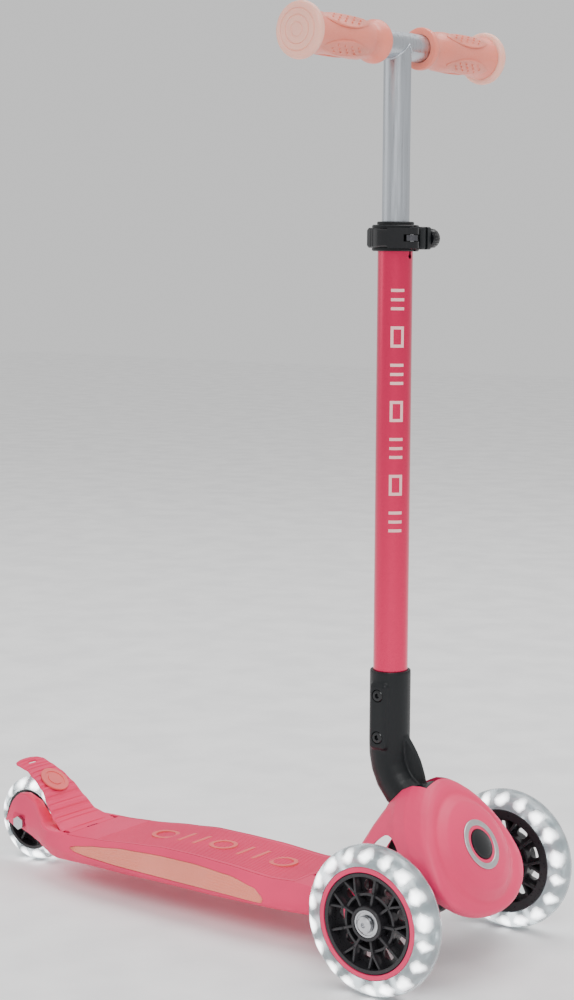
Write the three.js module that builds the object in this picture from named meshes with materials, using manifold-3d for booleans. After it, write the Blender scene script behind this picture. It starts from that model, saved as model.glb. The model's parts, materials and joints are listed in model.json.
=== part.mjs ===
// Child's three-wheeled kick scooter with a folding, height-adjustable T-bar.
// Millimetres. While it is being drawn, X = 0 is the front axle, Z = 0 the ground,
// +X points forward and +Y to the rider's left. The last lines centre it on the origin.
import * as THREE from 'three';
import { mergeVertices } from 'three/addons/utils/BufferGeometryUtils.js';
import Module from 'manifold-3d';

const wasm = await Module();
wasm.setup();

// ---- driving dimensions ----
const gap = 0.3; // between pieces that touch
const facets = 16; // sides of a middle-sized round piece

const wheelbase = 461;
const track = 204; // between the front wheels' middle planes

const frontWheelRadius = 60.5;
const rearWheelRadius = 40;
const wheelWidth = 24;
const tyreDepth = 15.5; // clear tread, front
const rearTyreDepth = 11;
const colourRingWidth = 4.5;
const bearingRadius = 11;
const bearingBore = 4;
const bearingWidth = 7;
const axleRadius = bearingBore - gap;
const nutRadius = 6.5;
const nutHeight = 4;

const deckHalfWidth = 57.5;
const deckFrontX = -64;
const deckHeight = 54; // top of the tread pad at mid-length
const padThickness = 3;
const foldPivot = { x: -18, z: 124 };
const foldPinRadius = 4;
const knuckleRadius = 20;
const foldSweepRadius = 37; // room round the pivot for the elbow's heel

const stemX = -56.4; // axis of the upright tubes
const outerTubeRadius = 14.3;
const outerTubeWall = 1.4;
const innerTubeRadius = outerTubeRadius - outerTubeWall - 1.8; // leaves room for the liner bush
const innerTubeWall = 1.5;
const outerTubeTop = 600;
const outerTubeBottom = 170;
const innerTubeBottom = 480;
const barHeight = 742;
const barHalfLength = 134.8;
const elbowWall = 2.4;
const elbowRadius = outerTubeRadius + gap + elbowWall;
const elbowTop = 237;
const slotHalfWidth = elbowRadius + 0.5; // between the cover's legs, where the stem folds
const screwHeights = { upper: 216.4, lower: 181.4 };

const gripStart = 30.5;
const gripRadius = innerTubeRadius + 5.1;
const capRadius = gripRadius + 5.6;
const capLength = 8.8;

const clampHeight = 21;
const clampWall = 4.4;
const earReach = outerTubeRadius + gap + clampWall + 6; // clamp bolt, from the stem's axis
const earThickness = 6;

const coverTilt = THREE.MathUtils.degToRad(30.3); // front face, upward from straight ahead
const buttonCentre = { x: 34.8, z: 103.5 };
const buttonRadius = 12.7;
const buttonTravel = 4;
const ringInner = 16;
const ringOuter = 21;
const coverWall = 3;

const kingpinTilt = THREE.MathUtils.degToRad(45); // forward from upright
const kingpinRadius = 5;
const truckBossRadius = 13;
const truckBossHalf = 15;

const brakeThickness = 3;
const brakePivot = { x: -wheelbase + 68, z: 41.5 };
const brakeBarrelRadius = 4;
const brakePinRadius = 2;
const brakePinHalf = 35;
const wheelBayHalf = wheelWidth / 2 + 3.3;
const rearArmOuter = 22;

// ---- finishes ----
function finish(color, roughness, metalness = 0) {
  return new THREE.MeshStandardMaterial({ color, roughness, metalness });
}
const pinkNylon = finish(0xe86279, 0.5);
const pinkMetal = finish(0xdc3d62, 0.35, 0.6);
const peach = finish(0xf0a598, 0.55);
const blackNylon = finish(0x1e2226, 0.5);
const blackGloss = finish(0x14161a, 0.15);
const silver = finish(0xb4bcc2, 0.3, 0.9);
const steel = finish(0xa8acb0, 0.3, 1);
const clearTread = finish(0xdfe6ea, 0.15);

// ---- shape tools ----
const scooter = new THREE.Group();

function add(name, material, geometry) {
  const mesh = new THREE.Mesh(geometry, material);
  mesh.name = name;
  scooter.add(mesh);
  return mesh;
}

function weld(geometry) {
  const bare = geometry.clone();
  bare.deleteAttribute('normal');
  bare.deleteAttribute('uv');
  return mergeVertices(bare, 1e-4);
}

function toSolid(geometry) {
  const { index, attributes } = weld(geometry);
  const vertProperties = new Float32Array(attributes.position.array);
  const triVerts = new Uint32Array(index.array);
  return new wasm.Manifold(new wasm.Mesh({ numProp: 3, vertProperties, triVerts }));
}

function toGeometry(solid) {
  const mesh = solid.getMesh();
  const geometry = new THREE.BufferGeometry();
  geometry.setAttribute('position', new THREE.BufferAttribute(mesh.vertProperties, mesh.numProp));
  geometry.setIndex(new THREE.BufferAttribute(mesh.triVerts, 1));
  geometry.computeVertexNormals();
  return geometry;
}

function join(...geometries) {
  return toGeometry(geometries.map(toSolid).reduce((whole, piece) => whole.add(piece)));
}

function cut(body, ...tools) {
  return toGeometry(tools.map(toSolid).reduce((left, tool) => left.subtract(tool), toSolid(body)));
}

// Turned about Z: points are [radius, height].
function turned(points, sides = facets) {
  const profile = points.map(([radius, height]) => new THREE.Vector2(radius, height));
  return new THREE.LatheGeometry(profile, sides).rotateX(Math.PI / 2);
}

function disc(radius, low, high, sides = facets) {
  return turned([[0, low], [radius, low], [radius, high], [0, high]], sides);
}

function washer(inner, outer, low, high, sides = facets) {
  const outline = [[inner, low], [outer, low], [outer, high], [inner, high], [inner, low]];
  return turned(outline, sides);
}

function hexNut(bore, reach, low, high) {
  return cut(disc(reach, low, high, 6), disc(bore, low - 1, high + 1, 16));
}

// Turns a piece drawn along +Z to lie along +Y or -Y.
function alongY(geometry, side = 1) {
  return geometry.rotateX(-side * Math.PI / 2);
}

function box(low, high) {
  const [sx, sy, sz] = high.map((value, axis) => value - low[axis]);
  const middle = high.map((value, axis) => (value + low[axis]) / 2);
  return new THREE.BoxGeometry(sx, sy, sz).translate(...middle);
}

// Side outline of [x, z] points, given a thickness from y = low to y = high.
function sidePlate(points, low, high) {
  const shape = new THREE.Shape(points.map(([x, z]) => new THREE.Vector2(x, z)));
  const plate = new THREE.ExtrudeGeometry(shape, { depth: high - low, bevelEnabled: false });
  return plate.rotateX(Math.PI / 2).translate(0, high, 0);
}

// Plan outline of [x, y] points, from z = low to z = high.
function planPlate(points, low, high) {
  const shape = new THREE.Shape(points.map(([x, y]) => new THREE.Vector2(x, y)));
  return new THREE.ExtrudeGeometry(shape, { depth: high - low, bevelEnabled: false })
    .translate(0, 0, low);
}

function arc(cx, cy, radius, from, to, steps) {
  const points = [];
  for (let i = 0; i <= steps; i += 1) {
    const angle = THREE.MathUtils.degToRad(from + (to - from) * i / steps);
    points.push([cx + radius * Math.cos(angle), cy + radius * Math.sin(angle)]);
  }
  return points;
}

// Skin through closed loops of equally many points, closed at both ends.
function loft(loops) {
  const count = loops[0].length;
  const corners = loops.flat();
  const faces = [];
  for (let ring = 0; ring + 1 < loops.length; ring += 1) {
    for (let i = 0; i < count; i += 1) {
      const a = ring * count + i;
      const b = ring * count + (i + 1) % count;
      faces.push(a, b, b + count, a, b + count, a + count);
    }
  }
  const last = (loops.length - 1) * count;
  for (let i = 1; i + 1 < count; i += 1) {
    faces.push(0, i + 1, i, last, last + i, last + i + 1);
  }
  const geometry = new THREE.BufferGeometry();
  geometry.setAttribute('position', new THREE.Float32BufferAttribute(corners.flat(), 3));
  geometry.setIndex(signedVolume(corners, faces) < 0 ? faces.reverse() : faces);
  return geometry;
}

function signedVolume(corners, faces) {
  let volume = 0;
  for (let i = 0; i < faces.length; i += 3) {
    const [a, b, c] = [0, 1, 2].map((k) => new THREE.Vector3(...corners[faces[i + k]]));
    volume += a.dot(b.cross(c)) / 6;
  }
  return volume;
}

// Straight line through a table of [position, values...] rows.
function between(rows, position) {
  const next = rows.findIndex((row) => row[0] >= position);
  if (next === 0) return rows[0].slice(1);
  if (next < 0) return rows[rows.length - 1].slice(1);
  const share = (position - rows[next - 1][0]) / (rows[next][0] - rows[next - 1][0]);
  return rows[next].slice(1).map((value, k) => {
    const before = rows[next - 1][k + 1];
    return before + (value - before) * share;
  });
}

function addPair(name, material, geometryFor) {
  for (const [side, word] of [[1, 'left'], [-1, 'right']]) {
    add(`${name}_${word}`, material, geometryFor(side));
  }
}

// ---- wheels ----
function tyre(radius, depth) {
  const half = wheelWidth / 2;
  const inner = radius - depth;
  const tread = arc(radius - half, 0, half, -80, 80, 4);
  return turned([[inner, -half + 1], ...tread, [inner, half - 1], [inner, -half + 1]], 28);
}

// Rim, hub and spokes; the hub is bored for a bearing at each end and a spacer between.
function wheelCore(radius, spokes) {
  const half = wheelWidth / 2;
  const rimWall = 4;
  const hubRadius = bearingRadius + 3;
  const spokeWidth = 4;
  const rim = washer(radius - rimWall, radius, 1 - half, half - 1, 24);
  const hub = disc(hubRadius, -half, half);
  const arms = [];
  for (let i = 0; i < spokes; i += 1) {
    const arm = box([hubRadius - 2, -spokeWidth / 2, 2 - half], [radius - 2, spokeWidth / 2, half - 2]);
    arms.push(arm.rotateZ(2 * Math.PI * i / spokes));
  }
  const bearingBay = bearingRadius + gap;
  const shoulder = half - bearingWidth - 1;
  const bore = turned([[0, -half - 1], [bearingBay, -half - 1], [bearingBay, -shoulder],
    [bearingRadius - 2, -shoulder], [bearingRadius - 2, shoulder], [bearingBay, shoulder],
    [bearingBay, half + 1], [0, half + 1]]);
  return cut(join(rim, hub, ...arms), bore);
}

function bearing() {
  return washer(bearingBore, bearingRadius, 0, bearingWidth, 14);
}

function addWheel(name, centre, radius, depth, outward) {
  const half = wheelWidth / 2;
  const coreRadius = radius - depth - (outward ? colourRingWidth : 0) - gap;
  const seat = half - bearingWidth - 1 + gap;
  const place = (geometry) => alongY(geometry, outward || 1).translate(...centre);
  add(`${name}_tyre`, clearTread, place(tyre(radius, depth)));
  add(`${name}_core`, blackNylon, place(wheelCore(coreRadius, outward ? 6 : 5)));
  if (outward) {
    const ring = washer(coreRadius + gap, radius - depth - gap, 2 - half, half - 0.5, 24);
    add(`${name}_colour_ring`, pinkNylon, place(ring));
  }
  add(`${name}_bearing_outer`, steel, place(bearing().translate(0, 0, seat)));
  add(`${name}_bearing_inner`, steel, place(bearing().translate(0, 0, -seat - bearingWidth)));
  const spacerEnd = seat - gap;
  const spacer = washer(bearingBore, bearingBore + 2, -spacerEnd, spacerEnd, 10);
  add(`${name}_spacer`, silver, place(spacer));
  const magnet = washer(bearingBore + 2 + gap, bearingRadius - 2 - gap, -spacerEnd, spacerEnd, 10);
  add(`${name}_magnet`, steel, place(magnet));
}

function addFrontWheels() {
  for (const [side, word] of [[1, 'left'], [-1, 'right']]) {
    addWheel(`front_${word}`, [0, side * track / 2, frontWheelRadius], frontWheelRadius, tyreDepth, side);
  }
}

function addRearWheel() {
  addWheel('rear', [-wheelbase, 0, rearWheelRadius], rearWheelRadius, rearTyreDepth, 0);
  const seat = rearArmOuter + gap;
  const thread = disc(axleRadius, -seat - 3, seat + nutHeight + 1, 16);
  const bolt = join(thread, disc(nutRadius, -seat - nutHeight, -seat, 6));
  const nut = hexNut(axleRadius + gap, nutRadius, seat, seat + nutHeight);
  add('rear_axle_bolt', steel, alongY(bolt).translate(-wheelbase, 0, rearWheelRadius));
  add('rear_axle_nut', steel, alongY(nut).translate(-wheelbase, 0, rearWheelRadius));
}

// ---- deck ----
// x from the rear axle; half width and height of the bottom edge, of the widest line and of the
// top edge. The two middle rows share one height, so the standing surface has a flat stretch.
const deckTail = [
  [-23, 17, 37, 19, 38.5, 17.5, 40],
  [-14, 18, 33, 22, 42, 19, 58],
  [-4, 19, 33, 24, 44, 20.5, 67],
  [6, 19.5, 30, 25.5, 44, 21.5, 68.5],
  [21, 21, 25, 28, 40, 24, 64],
  [31, 24, 22, 32, 38, 28, 53],
  [40, 28, 20, 37, 34, 34, 46],
  [51, 34, 20, 42, 33, 38, 45],
  [65, 40, 21, 46, 33, 39, 45],
  [81, 44, 23, 50, 33, 39.5, 45],
  [111, 48, 25, 54, 33, 40, 46.7],
];
const flatStretch = { front: -238, rear: -262 };
const deckBody = [
  [-300, 51, 26, deckHalfWidth - 1, 33, 41, deckHeight - 2.6],
  [flatStretch.rear, 52, 27, deckHalfWidth, 33, 41, deckHeight],
  [flatStretch.front, 52, 27, deckHalfWidth, 33, 41, deckHeight],
  [-200, 52, 27, deckHalfWidth, 33, 42, deckHeight - 1],
  [-150, 52, 28, deckHalfWidth, 33, 42, deckHeight - 4],
  [-120, 52, 29, deckHalfWidth - 0.5, 34, 42, deckHeight - 2],
  [-100, 51, 30, deckHalfWidth - 2.5, 36, 46, deckHeight - 1],
  [deckFrontX, 48, 33, deckHalfWidth - 5.5, 40, 48, deckHeight],
];
const deckRows = [...deckTail.map(([x, ...rest]) => [x - wheelbase, ...rest]), ...deckBody];
const padRear = brakePivot.x + brakeBarrelRadius + 1.5;
const padFront = -124;
const padInset = 2;

function deckLoop([x, bottomHalf, bottom, widestHalf, widest, topHalf, top]) {
  const bulge = (widestHalf - topHalf) * 0.42;
  const side = [
    [bottomHalf, bottom],
    [widestHalf - 1.5, bottom + (widest - bottom) * 0.45],
    [widestHalf, widest],
    [widestHalf - bulge, widest + (top - widest) * 0.5],
    [topHalf, top],
  ];
  const far = side.map(([y, z]) => [x, y, z]);
  const near = side.map(([y, z]) => [x, -y, z]).reverse();
  return [...far, ...near];
}

// A slab that follows the deck's top edge, between two heights measured from it.
function deckTopSlab(rear, front, inset, low, high) {
  const xs = [rear, ...deckRows.map(([x]) => x).filter((x) => x > rear && x < front), front];
  return loft(xs.map((x) => {
    const values = between(deckRows, x);
    const half = values[4] - inset;
    const top = values[5];
    return [[x, half, top + low], [x, half, top + high], [x, -half, top + high], [x, -half, top + low]];
  }));
}

function addDeck() {
  const solid = loft(deckRows.map(deckLoop));
  const padBed = deckTopSlab(padRear - gap, padFront + gap, padInset - gap, -padThickness - gap, 5);
  const bayFront = -wheelbase + rearWheelRadius + 8;
  const wheelBay = box([-600, -wheelBayHalf, 0], [bayFront, wheelBayHalf, 100]);
  const headChannel = box([padFront + gap + 1, -slotHalfWidth, 0], [0, slotHalfWidth, 90]);
  const axleHole = alongY(disc(axleRadius + gap, -60, 60, 16)).translate(-wheelbase, 0, rearWheelRadius);
  const dropouts = [1, -1].map((side) => {
    const low = Math.min(side * rearArmOuter, side * 40);
    return box([-wheelbase - 9, low, 31], [-wheelbase + 9, low + 40 - rearArmOuter, 49]);
  });
  add('deck', pinkNylon, cut(solid, padBed, wheelBay, headChannel, axleHole, ...dropouts,
    brakeRoom(), insertBed(1), insertBed(-1)));
  add('deck_pad', pinkNylon, deckTopSlab(padRear, padFront, padInset, -padThickness, 0));
}

// Space that the brake and its barrel need in the deck.
function brakeRoom() {
  const { x, z } = brakePivot;
  const rows = [[x - 31, 26.5, 50], [x - 18, 29.5, 42], [x - 3, 34.5, 36.5], [x + 4.6, 34.5, 36.5]];
  const under = loft(rows.map(([rowX, half, low]) => [
    [rowX, half, low], [rowX, half, 95], [rowX, -half, 95], [rowX, -half, low],
  ]));
  const pinHole = alongY(disc(brakePinRadius + gap, -brakePinHalf - 1, brakePinHalf + 1, 12));
  return join(under, pinHole.translate(x, 0, z));
}

// Soft side insert: a long leaf on the sloping flank, set into a bed of the same outline.
const insertLine = [
  [-374, 36.5, 38], [-345, 34.6, 42.5], [-310, 34, 46.3], [-268, 34, 48.5],
  [-230, 33.6, 48.5], [-190, 33.4, 46.5], [-160, 33, 42], [-146, 33, 36.5],
];

function insertStrip(side, depthIn, proud, grow) {
  return loft(insertLine.map(([x, low, high], row) => {
    const [, , widestHalf, widest, topHalf, top] = between(deckRows, x);
    const rise = (z) => Math.max(0, (z - widest) / (top - widest));
    const flank = (z) => widestHalf - (widestHalf - topHalf) * 0.9 * rise(z);
    const end = row === 0 ? -grow : row === insertLine.length - 1 ? grow : 0;
    return [[low - grow, proud], [high + grow, proud], [high + grow, -depthIn], [low - grow, -depthIn]]
      .map(([z, out]) => [x + end, side * (flank(z) + out), z]);
  }));
}

function insertBed(side) {
  return insertStrip(side, 3.5, 6, gap);
}

function addInserts() {
  addPair('side_insert', peach, (side) => insertStrip(side, 3.5 - gap, 0.8, 0));
}

// ---- brake ----
// x from the brake's hinge, height and half width of its centre line.
const brakeLine = [
  [-3, 46, 33.5], [-18, 52.5, 28], [-28, 63, 25], [-40, 76.5, 21],
  [-53, 85.5, 19], [-64, 91, 17], [-76, 94.3, 17.7], [-82, 95.5, 14],
];
const badgeRadius = 14;

function brakeLoop([dx, top, half], row) {
  const before = brakeLine[Math.max(row - 1, 0)];
  const after = brakeLine[Math.min(row + 1, brakeLine.length - 1)];
  const slope = new THREE.Vector2(after[0] - before[0], after[1] - before[1]).normalize();
  const nx = -slope.y * -1;
  const nz = -slope.x;
  const x = brakePivot.x + dx;
  const at = (y, depth) => [x - nx * depth, y, top - nz * depth];
  const crown = 1;
  return [at(half, crown), at(half * 0.5, 0.2), at(-half * 0.5, 0.2), at(-half, crown),
    at(-half, brakeThickness), at(half, brakeThickness)];
}

function badgePlace(geometry) {
  const [dx, top] = brakeLine[3];
  const lean = Math.atan2(brakeLine[4][1] - brakeLine[3][1], brakeLine[3][0] - brakeLine[4][0]);
  return geometry.rotateY(lean).translate(brakePivot.x + dx - 5, 0, top + 4);
}

function addBrake() {
  const { x, z } = brakePivot;
  const skin = loft(brakeLine.map(brakeLoop));
  const barrelHalf = brakePinHalf - 5;
  const barrel = alongY(disc(brakeBarrelRadius, -barrelHalf, barrelHalf, 16)).translate(x, 0, z);
  const web = box([x - 6, -barrelHalf, z - 1], [x - 1, barrelHalf, z + 4]);
  const bore = alongY(disc(brakePinRadius + gap, -60, 60, 12)).translate(x, 0, z);
  const springBay = box([x - 5, -7, z - 5], [x + 5, 7, z + 5]);
  const badgeBed = badgePlace(disc(badgeRadius + gap, -1.2, 8));
  add('brake_fender', pinkNylon, cut(join(skin, barrel, web), bore, springBay, badgeBed));
  const badge = turned([[0, -0.9], [badgeRadius, -0.9], [badgeRadius, 1.2], [9.5, 1.2], [9.5, 0.2],
    [7, 0.2], [7, 1.4], [0, 1.4]]);
  add('brake_badge', peach, badgePlace(badge));
  const pin = disc(brakePinRadius, -brakePinHalf, brakePinHalf, 12);
  add('brake_hinge_pin', steel, alongY(pin).translate(x, 0, z));
  const springInner = brakePinRadius + gap;
  add('brake_spring', steel, alongY(coil(springInner, 0.6, 6, 4)).translate(x, 0, z));
}

// Closed coil along Z, centred on it: inner radius, wire radius, half length, turns.
function coil(inner, wire, half, turns) {
  const stepsPerTurn = 8;
  const points = [];
  for (let i = 0; i <= turns * stepsPerTurn; i += 1) {
    const angle = 2 * Math.PI * i / stepsPerTurn;
    const reach = inner + wire;
    const z = (2 * i / (turns * stepsPerTurn) - 1) * (half - wire);
    points.push(new THREE.Vector3(reach * Math.cos(angle), reach * Math.sin(angle), z));
  }
  const section = new THREE.Shape(arc(0, 0, wire, 0, 270, 3).map(([a, b]) => new THREE.Vector2(a, b)));
  const extrudePath = new THREE.CatmullRomCurve3(points);
  return new THREE.ExtrudeGeometry(section, { steps: turns * stepsPerTurn, extrudePath });
}

// ---- front cover ----
// Frames: face() places a piece drawn with its axis +Z on the button's axis, pointing out;
// kingpin() does the same on the kingpin, pointing up and forward.
function face(geometry) {
  return geometry.rotateY(Math.PI / 2 - coverTilt).translate(buttonCentre.x, 0, buttonCentre.z);
}

function kingpin(geometry) {
  return geometry.rotateY(kingpinTilt).translate(0, 0, frontWheelRadius);
}

// Behind the face: depth, reach up, reach down, half width, where that width is (down),
// and how square the upper half is.
const hoodRows = [
  [0, 21, 21, 21, 0, 2],
  [1.5, 31, 31, 31, 0, 2],
  [4, 40, 40, 40, 0, 2],
  [7, 50, 52.5, 57, 17, 1.6],
  [9.5, 57, 54.5, 61, 17, 1.7],
  [14, 63, 55, 62.5, 15, 1.8],
  [19, 67, 54.5, 61.5, 12, 2],
  [27, 69.5, 52, 60, 0, 2.2],
  [38, 70, 50, 58, -8, 2.3],
  [58, 64.5, 42, 50, -14, 2.3],
];

function hoodLoop([depth, up, down, half, widestAt, square], inset) {
  const count = 20;
  const loop = [];
  for (let i = 0; i < count; i += 1) {
    const angle = 2 * Math.PI * i / count;
    const rising = Math.cos(angle);
    const power = rising > 0 ? 2 / square : 1;
    const reach = rising > 0 ? up + widestAt : down - widestAt;
    const along = Math.sign(rising) * Math.abs(rising) ** power * (reach - inset) - widestAt;
    const across = Math.sign(Math.sin(angle)) * Math.abs(Math.sin(angle)) ** (rising > 0 ? 1.15 : 1);
    loop.push([-along, across * (half - inset), -depth]);
  }
  return loop;
}

function hood(inset, back) {
  const rows = hoodRows.map((row) => [row[0] + inset, ...row.slice(1)]);
  if (back) rows.push([back, ...hoodRows[hoodRows.length - 1].slice(1)]);
  return face(loft(rows.map((row) => hoodLoop(row, inset))));
}

// Legs: height, rear edge, front edge, outer half width.
const legRows = [
  [50, -112, -60, 50], [60, -92, -54, 51], [74, -74, -44, 51], [93, -61, -26, 50],
  [113, -49.5, -10, 46], [129, -41, -8, 38],
];

function legs(inset, innerHalf) {
  return [1, -1].map((side) => loft(legRows.map(([z, rear, front, half], row) => {
    const height = z + (row === legRows.length - 1 ? -inset : 0);
    const [a, b, outer] = [rear + inset, front - inset, half - inset];
    return [[a, side * innerHalf, height], [b, side * innerHalf, height],
      [b, side * outer, height], [(a + b) / 2, side * outer, height], [a, side * (outer - 6), height]];
  })));
}

function archOutline() {
  return [[-64, 40], [-64, 57], [-50, 82], [-41, 99], [-33, 107.5], [-24, 111.5], [-17, 109.5],
    [-10, 102], [-1, 91], [46, 44], [46, -20], [-64, -20]];
}

function addCover() {
  const outer = join(hood(0), ...legs(0, slotHalfWidth + gap));
  const inner = join(hood(coverWall, 70), ...legs(coverWall, slotHalfWidth + gap + coverWall));
  const arches = sidePlate(archOutline(), -100, 100);
  const slotTop = [[-200, 200], [-6, 200], [-6, 110], [-20, 96], [-20, 20], [-200, 20]];
  const slot = sidePlate(slotTop, -slotHalfWidth - gap, slotHalfWidth + gap);
  const mouth = face(disc(buttonRadius + gap, -20, 5, 24));
  const ringBed = face(washer(ringInner - gap, ringOuter + gap, -1.6, 5, 24));
  const underDeck = box([-200, -100, 0], [deckFrontX + gap, 100, deckHeight + gap]);
  const headRoom = deckClear();
  add('front_cover', pinkNylon, cut(outer, inner, arches, slot, mouth, ringBed, underDeck, headRoom));
  const ring = washer(ringInner, ringOuter, -1.6 + gap, 0.3, 24);
  add('button_ring', silver, face(ring));
}

function deckClear() {
  return deckTopSlab(deckRows[0][0], deckFrontX + gap, -gap, -40, gap);
}

function addButton() {
  const cap = [[0, -6], [9, -6], [9, -4], [buttonRadius, -4], [buttonRadius, 0.6], [buttonRadius - 2.5, 1.8],
    [5, 2.3], [0, 2.4]];
  add('fold_button', blackGloss, face(turned(cap, 24)));
  add('button_spring', steel, face(coil(4.5, 0.6, 1.6, 2).translate(0, 0, -6 - buttonTravel - gap - 1.6)));
}

// ---- head block: joins the deck, the stem's pivot and the kingpin ----
function alongKingpin(along, square) {
  const [s, c] = [Math.sin(kingpinTilt), Math.cos(kingpinTilt)];
  return [along * s - square * c, frontWheelRadius + along * c + square * s];
}

function addHeadBlock() {
  const { x, z } = foldPivot;
  const bottom = alongKingpin(-26, -11);
  const noseLow = alongKingpin(26, -11);
  const noseHigh = alongKingpin(26, 10);
  const cheekRadius = 12;
  const outline = [[padFront + 4, 28], [padFront + 4, 46], [-95, 58], [-62, 64], [-55, 70],
    ...arc(x, z, cheekRadius, 195, 0, 5), noseHigh, noseLow, bottom];
  const plate = sidePlate(outline, -slotHalfWidth - 3.2 + coverWall, slotHalfWidth + 3.2 - coverWall);
  const wings = [1, -1].map((side) => sidePlate([[x - 21, z - 34], ...arc(x, z, cheekRadius, 170, 10, 5),
    [x + 22, z - 38], [x, 82]], side > 0 ? slotHalfWidth - 2 : -slotHalfWidth - 2.8,
  side > 0 ? slotHalfWidth + 2.8 : -slotHalfWidth + 2));
  const sweep = alongY(disc(foldSweepRadius, -elbowRadius - gap, elbowRadius + gap, 24)).translate(x, 0, z);
  const rearSweep = sidePlate([[-120, 64], [-55, 71], [x, z - 38], [x, 200], [-120, 200]],
    -elbowRadius - gap, elbowRadius + gap);
  const bossRoom = kingpin(box([-truckBossRadius - 3, -60, -truckBossHalf - gap],
    [60, 60, truckBossHalf + gap]));
  const pinHole = alongY(disc(foldPinRadius + gap, -60, 60, 12)).translate(x, 0, z);
  const kingpinHole = kingpin(disc(kingpinRadius + gap, -60, 60, 14));
  const ends = [1, -1].map((side) => kingpin(disc(10, truckBossHalf + 11, 60, 14)
    .rotateX(side > 0 ? 0 : Math.PI)));
  const channelSides = [1, -1].map((side) => {
    const low = side > 0 ? slotHalfWidth - gap : -60;
    return box([-200, low, 0], [deckFrontX + gap, low + 60 - slotHalfWidth + gap, 100]);
  });
  add('head_block', blackNylon,
    cut(join(plate, ...wings), sweep, rearSweep, bossRoom, pinHole, kingpinHole, ...ends,
      ...channelSides));
  const pinHalf = slotHalfWidth + 2.6;
  add('fold_pin', steel, alongY(disc(foldPinRadius, -pinHalf, pinHalf, 12)).translate(x, 0, z));
}

// ---- truck ----
function addTruck() {
  const boss = kingpin(disc(truckBossRadius, -truckBossHalf, truckBossHalf));
  const half = track / 2 - wheelWidth / 2 - 2;
  const beam = alongY(turned([[0, -half], [8, -half], [10, -half + 8], [11, -30], [11, 30],
    [10, half - 8], [8, half], [0, half]], 16)).translate(0, 0, frontWheelRadius);
  const kingpinBore = kingpin(disc(kingpinRadius + gap, -60, 60, 14));
  const axleBores = [1, -1].map((side) => (
    alongY(disc(axleRadius + gap, half - 26, half + 10, 16), side).translate(0, 0, frontWheelRadius)));
  add('axle_beam', blackNylon, cut(join(boss, beam), kingpinBore, ...axleBores));
  addPair('front_axle_bolt', steel, (side) => {
    const face = track / 2 + wheelWidth / 2 + gap;
    const shank = disc(axleRadius, half - 24, face + 1, 16);
    return alongY(join(shank, disc(7, face, face + 3.2, 16)), side).translate(0, 0, frontWheelRadius);
  });
  const end = truckBossHalf + 11 + gap;
  const shaft = disc(kingpinRadius, -end - 6, end + 1, 14);
  add('kingpin', steel, kingpin(join(shaft, disc(8, end, end + 4, 6))));
  add('kingpin_nut', steel, kingpin(hexNut(kingpinRadius + gap, 8, -end - 5, -end)));
}

// ---- stem ----
function upright(geometry) {
  return geometry.translate(stemX, 0, 0);
}

function addElbow() {
  const { x, z } = foldPivot;
  const path = [[stemX, 190], [stemX, 178], [stemX + 1, 160], [stemX + 8, 144], [x - 13, z + 6], [x - 8, z]];
  const arm = loft(path.map(([px, pz], i) => {
    const [ax, az] = path[Math.max(i - 1, 0)];
    const [bx, bz] = path[Math.min(i + 1, path.length - 1)];
    const way = new THREE.Vector2(bx - ax, bz - az).normalize();
    return arc(0, 0, elbowRadius, 0, 337.5, 15).map(([u, v]) => [px - u * way.y, v, pz + u * way.x]);
  }));
  const knuckle = alongY(disc(knuckleRadius, -elbowRadius, elbowRadius, 20)).translate(x, 0, z);
  const socket = upright(turned([[0, 178], [elbowRadius, 178], [elbowRadius, elbowTop - 2],
    [elbowRadius - 1.5, elbowTop], [0, elbowTop]]));
  const fin = sidePlate([[-50, 150], [-50, 190], [-40, 182], [-33, 174], [-26, 163], [-21, 150], [-18, 138],
    [-22, 124]], -3, 3);
  const padOutline = [[-9, 172], [9, 172], [9, 226], [-9, 226]].map(([u, v]) => [stemX + u, v]);
  const screwPad = sidePlate(padOutline, -elbowRadius - 2, -8);
  const bore = upright(disc(outerTubeRadius + gap, outerTubeBottom - gap, elbowTop + 5));
  const hinge = alongY(disc(foldPinRadius + gap, -60, 60, 12)).translate(x, 0, z);
  const holes = Object.values(screwHeights).map((height) => screwRoom(gap, height));
  add('elbow', blackNylon, cut(join(arm, knuckle, socket, fin, screwPad), bore, hinge, ...holes));
  for (const [word, height] of Object.entries(screwHeights)) {
    const screw = screwRoom(0, height);
    const key = alongY(disc(2, elbowRadius, 60, 6), -1).translate(stemX, 0, height);
    add(`elbow_screw_${word}`, blackGloss, cut(screw, key));
  }
}

// A cross screw, head on the right-hand side.
function screwRoom(room, height) {
  const head = disc(5 + room, elbowRadius - 1 - room, elbowRadius + 2.4 + room * 3, 20);
  const shank = disc(2.5 + room, -elbowRadius + 2 - room, elbowRadius, 12);
  return alongY(join(head, shank), -1).translate(stemX, 0, height);
}

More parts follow.
